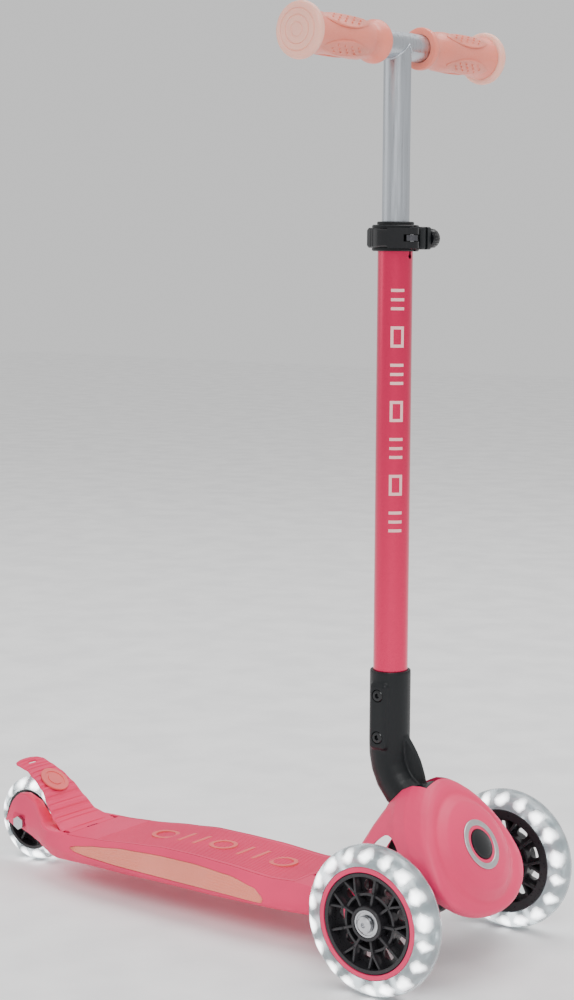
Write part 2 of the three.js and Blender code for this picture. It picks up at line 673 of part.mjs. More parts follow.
function addTubes() {
  const wallIn = outerTubeRadius - outerTubeWall;
  const tube = upright(washer(wallIn, outerTubeRadius, outerTubeBottom, outerTubeTop));
  const slotEnd = alongY(disc(2, 0, 30, 12), 1).rotateZ(-Math.PI / 2);
  const slit = upright(join(box([0, -1, outerTubeTop - 24], [30, 1, outerTubeTop + 5]),
    slotEnd.translate(0, 0, outerTubeTop - 25)));
  const crossHoles = Object.values(screwHeights).map((height) => (
    alongY(disc(2.5 + gap, -30, 30, 12)).translate(stemX, 0, height)));
  add('outer_tube', pinkMetal, cut(tube, slit, ...crossHoles));
  const bushOut = wallIn - gap;
  const bush = [[innerTubeRadius + gap, outerTubeTop - 22], [bushOut, outerTubeTop - 22],
    [bushOut, outerTubeTop + gap], [outerTubeRadius + 0.7, outerTubeTop + gap],
    [outerTubeRadius + 0.7, outerTubeTop + 2.6], [innerTubeRadius + gap, outerTubeTop + 2.6],
    [innerTubeRadius + gap, outerTubeTop - 22]];
  add('liner_bush', blackNylon, upright(turned(bush)));
  const inside = innerTubeRadius - innerTubeWall;
  const post = turned([[inside, innerTubeBottom], [innerTubeRadius, innerTubeBottom],
    [innerTubeRadius, barHeight], [inside, barHeight], [inside, innerTubeBottom]]);
  const barHalf = barHalfLength - capLength - 1;
  const bar = alongY(disc(innerTubeRadius, -barHalf, barHalf)).translate(0, 0, barHeight);
  add('t_bar', silver, upright(join(post, bar)));
}

// ---- clamp ----
function addClamp() {
  const low = outerTubeTop - clampHeight;
  const inner = outerTubeRadius + gap;
  const outer = inner + clampWall;
  const middle = outerTubeTop - clampHeight / 2;
  const bolt = { x: earReach, radius: 2.5 };
  const slit = 1.6;
  const earOut = slit + earThickness;
  const ears = box([inner + 1, -earOut, low + 1.5], [earReach + 5, earOut, outerTubeTop - 1.5]);
  const tubeRoom = disc(inner, low - 5, outerTubeTop + 5);
  const split = box([0, -slit, low - 5], [60, slit, outerTubeTop + 5]);
  const boltHole = alongY(disc(bolt.radius + gap, -40, 40, 14)).translate(bolt.x, 0, middle);
  const collar = join(disc(outer, low, outerTubeTop), ears);
  add('clamp_collar', blackNylon, upright(cut(collar, tubeRoom, split, boltHole)));

  const pivotY = -earOut - 6.5;
  const eye = disc(5.2, middle - 2.3, middle + 2.3, 18).translate(bolt.x, pivotY, 0);
  const shank = alongY(disc(bolt.radius, -earOut - 5, earOut + 9, 14)).translate(bolt.x, 0, middle);
  const pinHole = disc(2 + gap, middle - 20, middle + 20, 12).translate(bolt.x, pivotY, 0);
  add('clamp_bolt', steel, upright(cut(join(eye, shank), pinHole)));
  const nut = turned([[bolt.radius + gap, earOut + gap], [7, earOut + gap], [8, earOut + 2], [8, earOut + 8],
    [6.5, earOut + 10], [bolt.radius + gap, earOut + 10], [bolt.radius + gap, earOut + gap]], 20);
  add('adjusting_nut', blackGloss, upright(alongY(nut).translate(bolt.x, 0, middle)));
  add('lever_pin', steel, upright(disc(2, middle - 7.6, middle + 7.6, 12).translate(bolt.x, pivotY, 0)));

  const armIn = outer + gap + 0.4;
  const arm = planPlate([...arc(0, 0, armIn + 4.5, 232, 305, 10),
    ...arc(0, 0, armIn, 305, 232, 10)], middle - 8, middle + 8);
  const hub = disc(6, middle - 8, middle + 8, 20).translate(bolt.x, pivotY, 0);
  const neck = planPlate([[8, -armIn - 4], [bolt.x, pivotY - 5.5], [bolt.x, pivotY], [8, -armIn + 4]],
    middle - 8, middle + 8);
  const eyeRoom = disc(5.8, middle - 2.8, middle + 2.8, 18).translate(bolt.x, pivotY, 0);
  const boltRoom = box([bolt.x - 3.4, pivotY - 20, middle - 2.8], [bolt.x + 20, 0, middle + 2.8]);
  const collarRoom = disc(outer + gap, low - 5, outerTubeTop + 5, 40);
  const earRoom = box([0, -earOut - gap, low - 5], [60, 0, outerTubeTop + 5]);
  add('clamp_lever', blackGloss, upright(cut(join(arm, hub, neck), collarRoom, earRoom, eyeRoom, boltRoom,
    pinHole.clone())));
}

// ---- grips ----
function addGrips() {
  const start = gripStart;
  const end = barHalfLength - capLength;
  const bore = innerTubeRadius + gap;
  const neck = gripRadius - 2.8;
  const waist = gripRadius - 1.2;
  const profile = [
    [bore, start], [gripRadius, start], [gripRadius + 1, start + 2], [gripRadius + 0.6, start + 6],
    [neck, start + 10], [neck, start + 14], [gripRadius - 0.4, start + 24], [gripRadius, start + 34],
    [waist, start + 62], [gripRadius, end - 14], [gripRadius + 1.5, end - gap],
    [bore, end - gap], [bore, start],
  ];
  const cap = [[0, end], [capRadius - 4, end], [capRadius, end + 3], [capRadius - 0.6, end + 6],
    [capRadius - 5, barHalfLength - 0.6], [6, barHalfLength], [0, barHalfLength]];
  const place = (geometry, side) => upright(alongY(geometry, side).translate(0, 0, barHeight));
  addPair('grip', peach, (side) => place(turned(profile), side));
  addPair('grip_cap', peach, (side) => place(turned(cap, 24), side));
}

addDeck();
addInserts();
addBrake();
addRearWheel();
addFrontWheels();
addTruck();
addHeadBlock();
addCover();
addButton();
addElbow();
addTubes();
addClamp();
addGrips();

const extent = new THREE.Box3().setFromObject(scooter);
scooter.position.x = -(extent.min.x + extent.max.x) / 2;

export default scooter;
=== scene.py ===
import json
from math import atan2, cos, hypot, pi, radians, sin
import bpy
from mathutils import Matrix, Vector


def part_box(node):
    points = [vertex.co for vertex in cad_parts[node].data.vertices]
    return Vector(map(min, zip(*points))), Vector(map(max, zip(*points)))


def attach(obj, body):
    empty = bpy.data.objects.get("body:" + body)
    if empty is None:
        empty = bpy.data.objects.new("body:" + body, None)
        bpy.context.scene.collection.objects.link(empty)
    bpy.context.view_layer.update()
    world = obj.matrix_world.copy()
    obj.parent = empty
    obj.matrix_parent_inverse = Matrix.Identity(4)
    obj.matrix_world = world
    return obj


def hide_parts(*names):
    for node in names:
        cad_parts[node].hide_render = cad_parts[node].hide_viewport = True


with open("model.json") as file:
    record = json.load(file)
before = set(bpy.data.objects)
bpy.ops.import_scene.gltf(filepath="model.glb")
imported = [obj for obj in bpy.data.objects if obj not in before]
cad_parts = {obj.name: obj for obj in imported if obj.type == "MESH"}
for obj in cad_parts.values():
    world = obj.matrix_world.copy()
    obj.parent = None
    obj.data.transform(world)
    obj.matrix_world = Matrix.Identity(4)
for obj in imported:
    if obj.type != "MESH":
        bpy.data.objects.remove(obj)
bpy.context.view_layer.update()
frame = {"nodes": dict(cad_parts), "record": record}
mm = 0.001

# where things are, from the frame
axleLeft = (Vector(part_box("front_left_tyre")[0]) + Vector(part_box("front_left_tyre")[1])) / 2
axleRight = Vector((axleLeft.x, -axleLeft.y, axleLeft.z))
rearAxle = (Vector(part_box("rear_tyre")[0]) + Vector(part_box("rear_tyre")[1])) / 2
stemAxis = (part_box("outer_tube")[0][0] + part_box("outer_tube")[1][0]) / 2
originX = axleLeft.x


# ---- small helpers, used everywhere ----
def pickNone():
    if bpy.context.object and bpy.context.object.mode != "OBJECT":
        bpy.ops.object.mode_set(mode="OBJECT")
    bpy.ops.object.select_all(action="DESELECT")


def pick(*items):
    pickNone()
    for item in items:
        item.select_set(True)
    bpy.context.view_layer.objects.active = items[0]


def freshMesh(name, points, edges=(), faces=()):
    mesh = bpy.data.meshes.new(name)
    mesh.from_pydata(points, edges, faces)
    item = bpy.data.objects.new(name, mesh)
    bpy.context.collection.objects.link(item)
    pick(item)
    return item


def place(item, at=(0, 0, 0), turn=None):
    # bakes the place into the mesh, so the object stays at the origin
    matrix = Matrix.Translation(Vector(at)) @ (turn or Matrix.Identity(4)) @ item.matrix_world
    item.data.transform(matrix)
    item.matrix_world = Matrix.Identity(4)
    if matrix.determinant() < 0:
        item.data.flip_normals()
    return item


def cleanUp(item, angle=35, merge=0.00002):
    pick(item)
    bpy.ops.object.mode_set(mode="EDIT")
    bpy.ops.mesh.select_all(action="SELECT")
    bpy.ops.mesh.remove_doubles(threshold=merge)
    bpy.ops.mesh.normals_make_consistent(inside=False)
    bpy.ops.object.mode_set(mode="OBJECT")
    bpy.ops.object.shade_smooth_by_angle(angle=radians(angle))
    return item


def useModifier(item, kind, **settings):
    pick(item)
    modifier = item.modifiers.new(kind.title(), kind)
    for key, value in settings.items():
        setattr(modifier, key, value)
    bpy.ops.object.modifier_apply(modifier=modifier.name)
    return item


def spun(name, outline, steps=64, closed=True):
    # outline of (radius, along Y) in mm, spun round Y
    points = [(r * mm, a * mm, 0) for r, a in outline]
    count = len(points)
    edges = [(i, (i + 1) % count) for i in range(count if closed else count - 1)]
    item = freshMesh(name, points, edges)
    bpy.ops.object.mode_set(mode="EDIT")
    bpy.ops.mesh.select_all(action="SELECT")
    bpy.ops.mesh.spin(steps=steps, angle=2 * pi, center=(0, 0, 0), axis=(0, 1, 0))
    bpy.ops.object.mode_set(mode="OBJECT")
    return cleanUp(item)


def lofted(name, loops, angle=50):
    count = len(loops[0])
    faces = [tuple(range(count)), tuple(range((len(loops) - 1) * count, len(loops) * count))]
    for row in range(len(loops) - 1):
        for i in range(count):
            a, b = row * count + i, row * count + (i + 1) % count
            faces.append((a, b, b + count, a + count))
    item = freshMesh(name, [tuple(v * mm for v in p) for loop in loops for p in loop], (), faces)
    return cleanUp(item, angle)


def joined(name, items):
    pick(*items)
    if len(items) > 1:
        bpy.ops.object.join()
    item = bpy.context.view_layer.objects.active
    item.name = item.data.name = name
    return item


def block(size, at, bevel=0.6, name="block"):
    pickNone()
    bpy.ops.mesh.primitive_cube_add(size=1, location=(0, 0, 0))
    item = bpy.context.object
    item.name = name
    item.data.transform(Matrix.Diagonal((*[s * mm for s in size], 1)))
    if bevel:
        useModifier(item, "BEVEL", width=bevel * mm, segments=3)
    return place(item, [v * mm for v in at])


def copied(item, name, at=(0, 0, 0), turn=None):
    twin = item.copy()
    twin.data = item.data.copy()
    twin.name = twin.data.name = name
    bpy.context.collection.objects.link(twin)
    return place(twin, at, turn)


def cutBy(item, tools):
    for tool in tools:
        useModifier(item, "BOOLEAN", object=tool, operation="DIFFERENCE", solver="EXACT")
        bpy.data.objects.remove(tool)
    return item


def remeshed(item, voxel, rounds=4, factor=0.5):
    useModifier(item, "REMESH", mode="VOXEL", voxel_size=voxel * mm, use_smooth_shade=True)
    if rounds:
        useModifier(item, "SMOOTH", factor=factor, iterations=rounds)
    return item


def finishPiece(item, body, material, nodes=()):
    item.data.materials.clear()
    item.data.materials.append(material)
    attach(item, body)
    if nodes:
        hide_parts(*nodes)
    return item


# ---- materials ----
def newMaterial(name):
    material = bpy.data.materials.new(name)
    material.use_nodes = True
    tree = material.node_tree
    shader = tree.nodes["Principled BSDF"]
    return material, tree, shader


def objectCoords(tree, offset=(0, 0, 0)):
    coords = tree.nodes.new("ShaderNodeTexCoord")
    if not any(offset):
        return coords.outputs["Object"]
    mapping = tree.nodes.new("ShaderNodeMapping")
    mapping.inputs["Location"].default_value = offset
    tree.links.new(coords.outputs["Object"], mapping.inputs["Vector"])
    return mapping.outputs["Vector"]


def noiseNode(tree, scale, detail=4, source=None):
    noise = tree.nodes.new("ShaderNodeTexNoise")
    noise.inputs["Scale"].default_value = scale
    noise.inputs["Detail"].default_value = detail
    tree.links.new(source or objectCoords(tree), noise.inputs["Vector"])
    return noise.outputs["Fac"]


def ramp(tree, source, stops, colours):
    node = tree.nodes.new("ShaderNodeValToRGB")
    node.color_ramp.elements[0].position, node.color_ramp.elements[1].position = stops
    for element, colour in zip(node.color_ramp.elements, colours):
        element.color = (*colour, 1) if len(colour) == 3 else colour
    tree.links.new(source, node.inputs["Fac"])
    return node.outputs["Color"]


def bumpNode(tree, height, strength, distance):
    bump = tree.nodes.new("ShaderNodeBump")
    bump.inputs["Strength"].default_value = strength
    bump.inputs["Distance"].default_value = distance
    tree.links.new(height, bump.inputs["Height"])
    return bump.outputs["Normal"]


def maths(tree, kind, a, b=None):
    node = tree.nodes.new("ShaderNodeMath")
    node.operation = kind
    for socket, value in zip(node.inputs, (a, b)):
        if value is None:
            continue
        if isinstance(value, (int, float)):
            socket.default_value = value
        else:
            tree.links.new(value, socket)
    return node.outputs["Value"]


def mouldedPlastic(name, colour, roughness=0.5, grain=900, bump=0.12, coat=0.0):
    # tiny spark-eroded grain, and a slow drift of colour as in a moulding
    material, tree, shader = newMaterial(name)
    light = [min(1, c * 1.06) for c in colour]
    dark = [c * 0.94 for c in colour]
    slow = noiseNode(tree, 14, 2)
    tree.links.new(ramp(tree, slow, (0.35, 0.65), (dark, light)), shader.inputs["Base Color"])
    fine = noiseNode(tree, grain, 3)
    low, high = roughness - 0.05, roughness + 0.07
    tree.links.new(ramp(tree, fine, (0.3, 0.7), ((low,) * 3, (high,) * 3)), shader.inputs["Roughness"])
    tree.links.new(bumpNode(tree, fine, bump, 0.0002), shader.inputs["Normal"])
    shader.inputs["Coat Weight"].default_value = coat
    if max(colour) < 0.05:
        shader.inputs["Specular IOR Level"].default_value = 0.3
    return material


def softRubber(name, colour, roughness=0.5, subsurface=0.15):
    material = mouldedPlastic(name, colour, roughness, 1400, 0.15)
    shader = material.node_tree.nodes["Principled BSDF"]
    shader.inputs["Subsurface Weight"].default_value = subsurface
    shader.inputs["Subsurface Radius"].default_value = (0.006, 0.003, 0.002)
    shader.inputs["Subsurface Scale"].default_value = 1.0
    return material


def lacquer(name, colour):
    # metallic flake under a clear coat
    material, tree, shader = newMaterial(name)
    flake = tree.nodes.new("ShaderNodeTexVoronoi")
    flake.inputs["Scale"].default_value = 2600
    tree.links.new(objectCoords(tree), flake.inputs["Vector"])
    dark = [c * 0.86 for c in colour]
    light = [min(1, c * 1.12) for c in colour]
    shade = ramp(tree, flake.outputs["Distance"], (0.1, 0.7), (light, dark))
    tree.links.new(shade, shader.inputs["Base Color"])
    shader.inputs["Metallic"].default_value = 0.9
    shader.inputs["Roughness"].default_value = 0.3
    shader.inputs["Coat Weight"].default_value = 0.5
    shader.inputs["Coat Roughness"].default_value = 0.12
    return material


def metal(name, colour, roughness, stretch=(1, 1, 1), scale=300, bump=0.08):
    # fine drawn or brushed lines along one direction
    material, tree, shader = newMaterial(name)
    coords = tree.nodes.new("ShaderNodeTexCoord")
    mapping = tree.nodes.new("ShaderNodeMapping")
    mapping.inputs["Scale"].default_value = stretch
    tree.links.new(coords.outputs["Object"], mapping.inputs["Vector"])
    lines = noiseNode(tree, scale, 5, mapping.outputs["Vector"])
    low, high = roughness - 0.07, roughness + 0.1
    tree.links.new(ramp(tree, lines, (0.35, 0.65), ((low,) * 3, (high,) * 3)), shader.inputs["Roughness"])
    shade = ([c * 0.92 for c in colour], [min(1, c * 1.05) for c in colour])
    tree.links.new(ramp(tree, lines, (0.3, 0.7), shade), shader.inputs["Base Color"])
    tree.links.new(bumpNode(tree, lines, bump, 0.0001), shader.inputs["Normal"])
    shader.inputs["Metallic"].default_value = 1
    return material


def litTread(name, centre, middleRadius, lamps):
    # clear polyurethane with a soft white glow round each cast-in light
    material, tree, shader = newMaterial(name)
    coords = objectCoords(tree, (-centre.x, -centre.y, -centre.z))
    split = tree.nodes.new("ShaderNodeSeparateXYZ")
    tree.links.new(coords, split.inputs["Vector"])
    x, z = split.outputs["X"], split.outputs["Z"]
    cloud = noiseNode(tree, 60, 2, coords)
    angle = maths(tree, "ARCTAN2", z, x)
    wobble = maths(tree, "MULTIPLY", cloud, 5.0)
    wave = maths(tree, "COSINE", maths(tree, "ADD", maths(tree, "MULTIPLY", angle, lamps), wobble))
    squares = maths(tree, "ADD", maths(tree, "MULTIPLY", x, x), maths(tree, "MULTIPLY", z, z))
    reach = maths(tree, "SQRT", squares)
    away = maths(tree, "ABSOLUTE", maths(tree, "SUBTRACT", reach, middleRadius))
    ring = maths(tree, "SUBTRACT", 1.0, maths(tree, "MULTIPLY", away, 112.0))
    glow = maths(tree, "MULTIPLY", maths(tree, "ADD", maths(tree, "MULTIPLY", wave, 0.38), 0.62), ring)
    soft = ramp(tree, glow, (0.3, 0.8), ((0, 0, 0), (1, 1, 1)))
    tint = ramp(tree, glow, (0.15, 0.7), ((0.36, 0.42, 0.44), (0.98, 0.99, 1)))
    tree.links.new(tint, shader.inputs["Base Color"])
    shader.inputs["Emission Color"].default_value = (0.95, 0.98, 1, 1)
    tree.links.new(maths(tree, "MULTIPLY", soft, 5.0), shader.inputs["Emission Strength"])
    shader.inputs["Roughness"].default_value = 0.12
    shader.inputs["Transmission Weight"].default_value = 0.55
    shader.inputs["IOR"].default_value = 1.45
    shader.inputs["Coat Weight"].default_value = 0.6
    return material


pink = mouldedPlastic("pinkNylon", (0.82, 0.024, 0.125), 0.46)
pinkSoft = mouldedPlastic("pinkNylonTread", (0.80, 0.022, 0.118), 0.52, 700, 0.2)
pinkTube = lacquer("pinkLacquer", (0.80, 0.012, 0.10))
peach = softRubber("peachRubber", (0.88, 0.24, 0.17), 0.3, 0.25)
# darker copy of the peach: the pad motif's own colour, and on the brake badge painted shade for the recessed
# middle of the disc
motifPeachAndBadgeShade = mouldedPlastic("motifPeachAndBadgeShade", (0.82, 0.12, 0.12), 0.5)
peachPale = softRubber("paleCap", (0.93, 0.48, 0.38), 0.3, 0.4)
blackNylon = mouldedPlastic("blackNylon", (0.006, 0.0075, 0.009), 0.42, 700, 0.18)
blackGloss = mouldedPlastic("blackGloss", (0.005, 0.0055, 0.007), 0.2, 400, 0.04, 0.3)
blackGlossRib = mouldedPlastic("ribbedNylon", (0.022, 0.021, 0.024), 0.3, 500, 0.08, 0.2)
alloy = metal("anodisedAlloy", (0.50, 0.53, 0.57), 0.33, (1, 1, 0.04), 500)
alloyCross = metal("anodisedCrossbar", (0.50, 0.53, 0.57), 0.33, (1, 0.04, 1), 500)
zinc = metal("zincPlate", (0.55, 0.56, 0.58), 0.28, (1, 1, 1), 200)
boltBlack = metal("blackenedBolt", (0.10, 0.10, 0.11), 0.35, (1, 1, 1), 200)
silverPrint = metal("ringPaint", (0.62, 0.62, 0.63), 0.4, (1, 1, 1), 200)
inkPale = mouldedPlastic("palePrint", (0.90, 0.50, 0.50), 0.4, 500, 0.05)

plainFinish = {
    "clear_tread": litTread("litTreadPlain", axleLeft, 0.053, 18),
    "pink_nylon": pink, "pink_metallic": pinkTube,
    "peach_rubber": peach, "pale_peach": peachPale, "black_nylon": blackNylon,
    "black_gloss": blackGloss, "silver_alloy": alloy, "steel": zinc,
}
for row in frame["record"]["subparts"]:
    node = frame["nodes"][row["node"]]
    node.data.materials.clear()
    node.data.materials.append(plainFinish[row["material_slot"]])
frame["nodes"]["clamp_bolt"].data.materials[0] = boltBlack
print("materials on the frame")


# ---- wheels ----
frontWheel = {"spokes": 9, "lamps": 18, "radius": 60.5, "treadDepth": 15.5, "half": 12}
rearWheel = {"spokes": 6, "lamps": 12, "radius": 40, "treadDepth": 11, "half": 12}


def treadOutline(wheel):
    # round shoulders, with a shallow lip where the tread grips the rim
    half, radius = wheel["half"], wheel["radius"]
    inner = radius - wheel["treadDepth"]
    crown = [(radius - half + half * cos(radians(a)), half * sin(radians(a))) for a in range(-78, 79, 12)]
    return [(inner, 1 - half), (inner + 1.5, 0.3 - half), *crown,
            (inner + 1.5, half - 0.3), (inner, half - 1)]


def spokeSet(wheel, coreRadius):
    # Y-shaped ribs: a straight root, then two curved branches to the rim
    hub, half = 14.0, wheel["half"]
    parts = []
    for i in range(wheel["spokes"]):
        turn = Matrix.Rotation(2 * pi * i / wheel["spokes"], 4, "Y")
        fork = hub + (coreRadius - hub) * 0.42
        root = block((fork - hub + 2, 2 * half - 6, 2.2), ((fork + hub) / 2, 0, 0), 0.5)
        parts.append(place(root, turn=turn))
        if i % 3 == 2:
            straight = block((coreRadius - fork, 2 * half - 6, 2.2), ((fork + coreRadius) / 2 - 1, 0, 0), 0.5)
            parts.append(place(straight, turn=turn))
            continue
        for side in (1, -1):
            length = hypot(coreRadius - fork, 6.5) - 1.5
            tilt = Matrix.Rotation(side * atan2(6.5, coreRadius - fork), 4, "Y")
            branch = block((length, 2 * half - 6, 2), (length / 2, 0, 0), 0.5)
            parts.append(place(place(branch, (fork * mm - 0.0006, 0, 0), tilt), turn=turn))
    return parts


def makeCore(name, wheel, ringWidth, centre, side, body):
    half = wheel["half"]
    coreRadius = wheel["radius"] - wheel["treadDepth"] - ringWidth - 0.3
    flange = coreRadius + (ringWidth and ringWidth - 0.1)
    rim = spun(name + "Rim", [(coreRadius - 3.2, 1.4 - half), (flange - 0.5, 1 - half),
                              (flange, 1.6 - half), (flange, 3), (coreRadius, 3), (coreRadius, half - 1.6),
                              (coreRadius - 0.5, half - 1), (coreRadius - 3.2, half - 1.4)])
    hub = spun(name + "Hub", [(11.3, -half), (13.4, -half), (14, 0.8 - half), (14.8, 0), (14, half - 0.8),
                              (13.4, half), (11.3, half)], 48)
    web = spun(name + "Web", [(14, -1.6), (coreRadius - 2.8, -1.6), (coreRadius - 2.8, 0.2), (14, 0.2)], 48)
    holes = []
    for i in range(wheel["spokes"]):
        angle = 2 * pi * (i + 0.5) / wheel["spokes"]
        reach = (coreRadius * 0.7) * mm
        pickNone()
        bpy.ops.mesh.primitive_cylinder_add(vertices=24, radius=coreRadius * 0.12 * mm, depth=0.02,
                                            rotation=(pi / 2, 0, 0))
        hole = bpy.context.object
        hole.location = (reach * cos(angle), 0, reach * sin(angle))
        holes.append(hole)
    cutBy(web, [joined("bores", holes)])
    bandAt = coreRadius * 0.56
    band = spun(name + "Band", [(bandAt - 1, 5 - half), (bandAt + 1, 5 - half), (bandAt + 1, half - 5),
                                (bandAt - 1, half - 5)], 48)
    core = joined(name, [rim, hub, web, band, *spokeSet(wheel, coreRadius)])
    place(core, centre, Matrix.Rotation(0 if side > 0 else pi, 4, "X"))
    node = name.replace("_spoked", "_core")
    return finishPiece(cleanUp(core, 30), body, blackGlossRib, [node])


def makeBearing(name, centre, offset, body, node, direction=1):
    # outer race, dust shield with a pressed step, inner race
    race = spun(name, [(3.95, 0), (5.6, 0), (5.9, -0.4), (9, -0.5), (9.3, 0), (10.8, 0), (11, -0.3),
                       (11, -6.7), (10.8, -7), (3.95, -7)], 40)
    place(race, centre + Vector((0, offset * mm, 0)), Matrix.Rotation(0 if direction > 0 else pi, 4, "X"))
    return finishPiece(race, body, zinc, [node])


def makeTread(name, wheel, centre, body, node, material):
    tread = spun(name, treadOutline(wheel), 96)
    return finishPiece(place(tread, centre), body, material, [node])


def makeFrontWheel(word, centre, side):
    body = "front_wheel_" + word
    stem = "front_" + word
    tread = litTread("tread_" + word, centre, 0.0535, frontWheel["lamps"])
    makeTread(stem + "_clear_tread", frontWheel, centre, body, stem + "_tyre", tread)
    makeCore(stem + "_spoked", frontWheel, 4.5, centre, side, body)
    ring = spun(stem + "_ring", [(40.6, 3.4), (41.2, 3.2), (44, 3.2), (44.7, 3.4), (44.7, 10.6),
                                 (44.2, 11.3), (41, 11.5), (40.6, 11)], 96)
    place(ring, centre, Matrix.Rotation(0 if side > 0 else pi, 4, "X"))
    finishPiece(ring, body, pink, [stem + "_colour_ring"])
    makeBearing(stem + "_outer_race", centre, side * 11.3, body, stem + "_bearing_outer", side)
    makeBearing(stem + "_inner_race", centre, -side * 11.3, body, stem + "_bearing_inner", -side)


def makeRearWheel():
    tread = litTread("treadRear", rearAxle, 0.0345, rearWheel["lamps"])
    makeTread("rear_clear_tread", rearWheel, rearAxle, "rear_wheel", "rear_tyre", tread)
    makeCore("rear_spoked", rearWheel, 0, rearAxle, 1, "rear_wheel")
    for side, word in ((1, "outer"), (-1, "inner")):
        makeBearing("rear_race_" + word, rearAxle, side * 11.3, "rear_wheel", "rear_bearing_" + word, side)


def makeAxleHead(word, side, centre):
    # domed hex-socket head with a thin washer under it
    outline = [(0, 1.2), (2.1, 1.2), (2.1, 3.2), (5.2, 3.2), (6.6, 2.2), (7, 0.9), (7, 0), (0, 0)]
    head = spun("front_axle_head_" + word, outline, 48, closed=False)
    shank = spun("shank", [(0, 0.1), (3.7, 0.1), (3.7, -50), (0, -50)], 24, closed=False)
    bolt = joined("front_axle_head_" + word, [head, shank])
    place(bolt, centre + Vector((0, side * 12.3 * mm, 0)), Matrix.Rotation(0 if side > 0 else pi, 4, "X"))
    finishPiece(cleanUp(bolt), "truck", zinc, ["front_axle_bolt_" + word])


makeFrontWheel("left", axleLeft, 1)
makeFrontWheel("right", axleRight, -1)
makeRearWheel()
makeAxleHead("left", 1, axleLeft)
makeAxleHead("right", -1, axleRight)
print("wheels made")


# ---- front cover ----
deckTopFront = 54.3
cover = {"tilt": 30.3, "faceX": 34.8, "faceZ": 103.5, "wall": 2.4, "slotHalf": 17.9, "button": 12.7}
coverTurn = Matrix.Rotation(pi / 2 - radians(cover["tilt"]), 4, "Y")
coverAt = Vector((originX + cover["faceX"] * mm, 0, cover["faceZ"] * mm))
# depth behind the face, reach up, reach down, half width, where that width is, squareness
hoodRows = [
    [0, 12, 12, 12, 0, 2], [0.5, 21, 21, 21, 0, 2], [1.5, 31, 31, 31, 0, 2], [3.2, 38, 38, 38, 0, 2],
    [6.4, 42.5, 42.5, 42.5, 0, 2], [8.6, 45.5, 45, 46, 2, 2], [8.9, 47, 47, 48.5, 5, 2],
    [8.2, 50, 50.5, 53, 12, 1.8],
    [8.8, 54.5, 53.7, 58, 16, 1.7], [11, 60, 55, 61.5, 17, 1.7], [15, 64, 55.2, 62.5, 15, 1.8],
    [20, 67, 54.2, 61, 11, 2], [27, 69.5, 52, 59.5, 0, 2.2], [38, 70, 50, 57, -8, 2.3],
    [58, 64.5, 42, 50, -14, 2.3],
]
# height, rear edge, front edge, outer half width
legRows = [[44, -118, -58, 50], [50, -112, -57, 51], [60, -90, -52, 52], [74, -73, -42, 52],
           [93, -60.5, -24, 50], [113, -49.5, -10, 46], [126, -42.5, -8, 40], [130, -38, -12, 34]]


def hoodLoop(row, count=48):
    depth, up, down, half, widest, square = row
    loop = []
    for i in range(count):
        angle = 2 * pi * (i + 0.5) / count
        rising, across = cos(angle), sin(angle)
        upper = rising > 0
        reach = up + widest if upper else down - widest
        along = (1 if upper else -1) * abs(rising) ** (2 / square if upper else 1) * reach - widest
        wide = (1 if across > 0 else -1) * abs(across) ** (1.15 if upper else 1) * half
        loop.append((-along, wide, -depth))
    return loop


def sideCutter(points, low, high, name="cutter"):
    loops = [[(x, y, z) for x, z in points] for y in (low, high)]
    return place(lofted(name, loops), (originX, 0, 0))


def faceDisc(radius, low, high, name="faceDisc"):
    pickNone()
    bpy.ops.mesh.primitive_cylinder_add(vertices=96, radius=radius * mm, depth=(high - low) * mm,
                                        location=(0, 0, (high + low) / 2 * mm))
    return place(bpy.context.object, coverAt, coverTurn)


def makeCover():
    shell = place(lofted("front_cover_shell", [hoodLoop(row) for row in hoodRows]), coverAt, coverTurn)
    for side in (1, -1):
        loops = []
        for z, rear, front, half in legRows:
            middle = (rear + front) / 2
            loops.append([(rear, side * 15, z), (front, side * 15, z), (front, side * (half - 8), z),
                          (front - 4, side * (half - 1), z), (middle, side * half, z),
                          (rear + 6, side * (half - 4), z), (rear + 1, side * (half - 12), z)])
        leg = place(lofted("leg", loops), (originX, 0, 0))
        useModifier(shell, "BOOLEAN", object=leg, operation="UNION", solver="EXACT")
        bpy.data.objects.remove(leg)
    remeshed(shell, 1.1, 5, 0.5)
    inner = copied(shell, "cover_inside")
    useModifier(inner, "DISPLACE", strength=-cover["wall"] * mm, mid_level=0)
    remeshed(inner, 1.3, 2, 0.5)
    cutBy(shell, [inner])
    arch = [(-64, 30), (-63, 57), (-50, 82), (-41, 99), (-37, 104), (-33, 107.5), (-28.5, 110.5),
            (-24, 111.5), (-20, 111), (-17, 109.5), (-13, 106), (-10, 102), (-5, 95.5), (0, 90), (47, 43.5),
            (60, 20), (60, -20),
            (-64, -20)]
    notch = [(-200, 200), (-9, 200), (-7.5, 151), (-8, 110), (-20, 96), (-20, 20), (-200, 20)]
    cutBy(shell, [sideCutter(arch, -100, 100), sideCutter(notch, -cover["slotHalf"], cover["slotHalf"]),
                  faceDisc(cover["button"] + 0.35, -20, 9)])
    ringBed = faceDisc(21.2, -1.3, 9)
    cutBy(ringBed, [faceDisc(15.8, -9, 12)])
    lowDeck = block((200, 200, 60), (originX / mm - 64 - 100, 0, deckTopFront - 30), 0)
    cutBy(shell, [ringBed, lowDeck])
    finishPiece(cleanUp(shell, 40), "deck", pink, ["front_cover"])


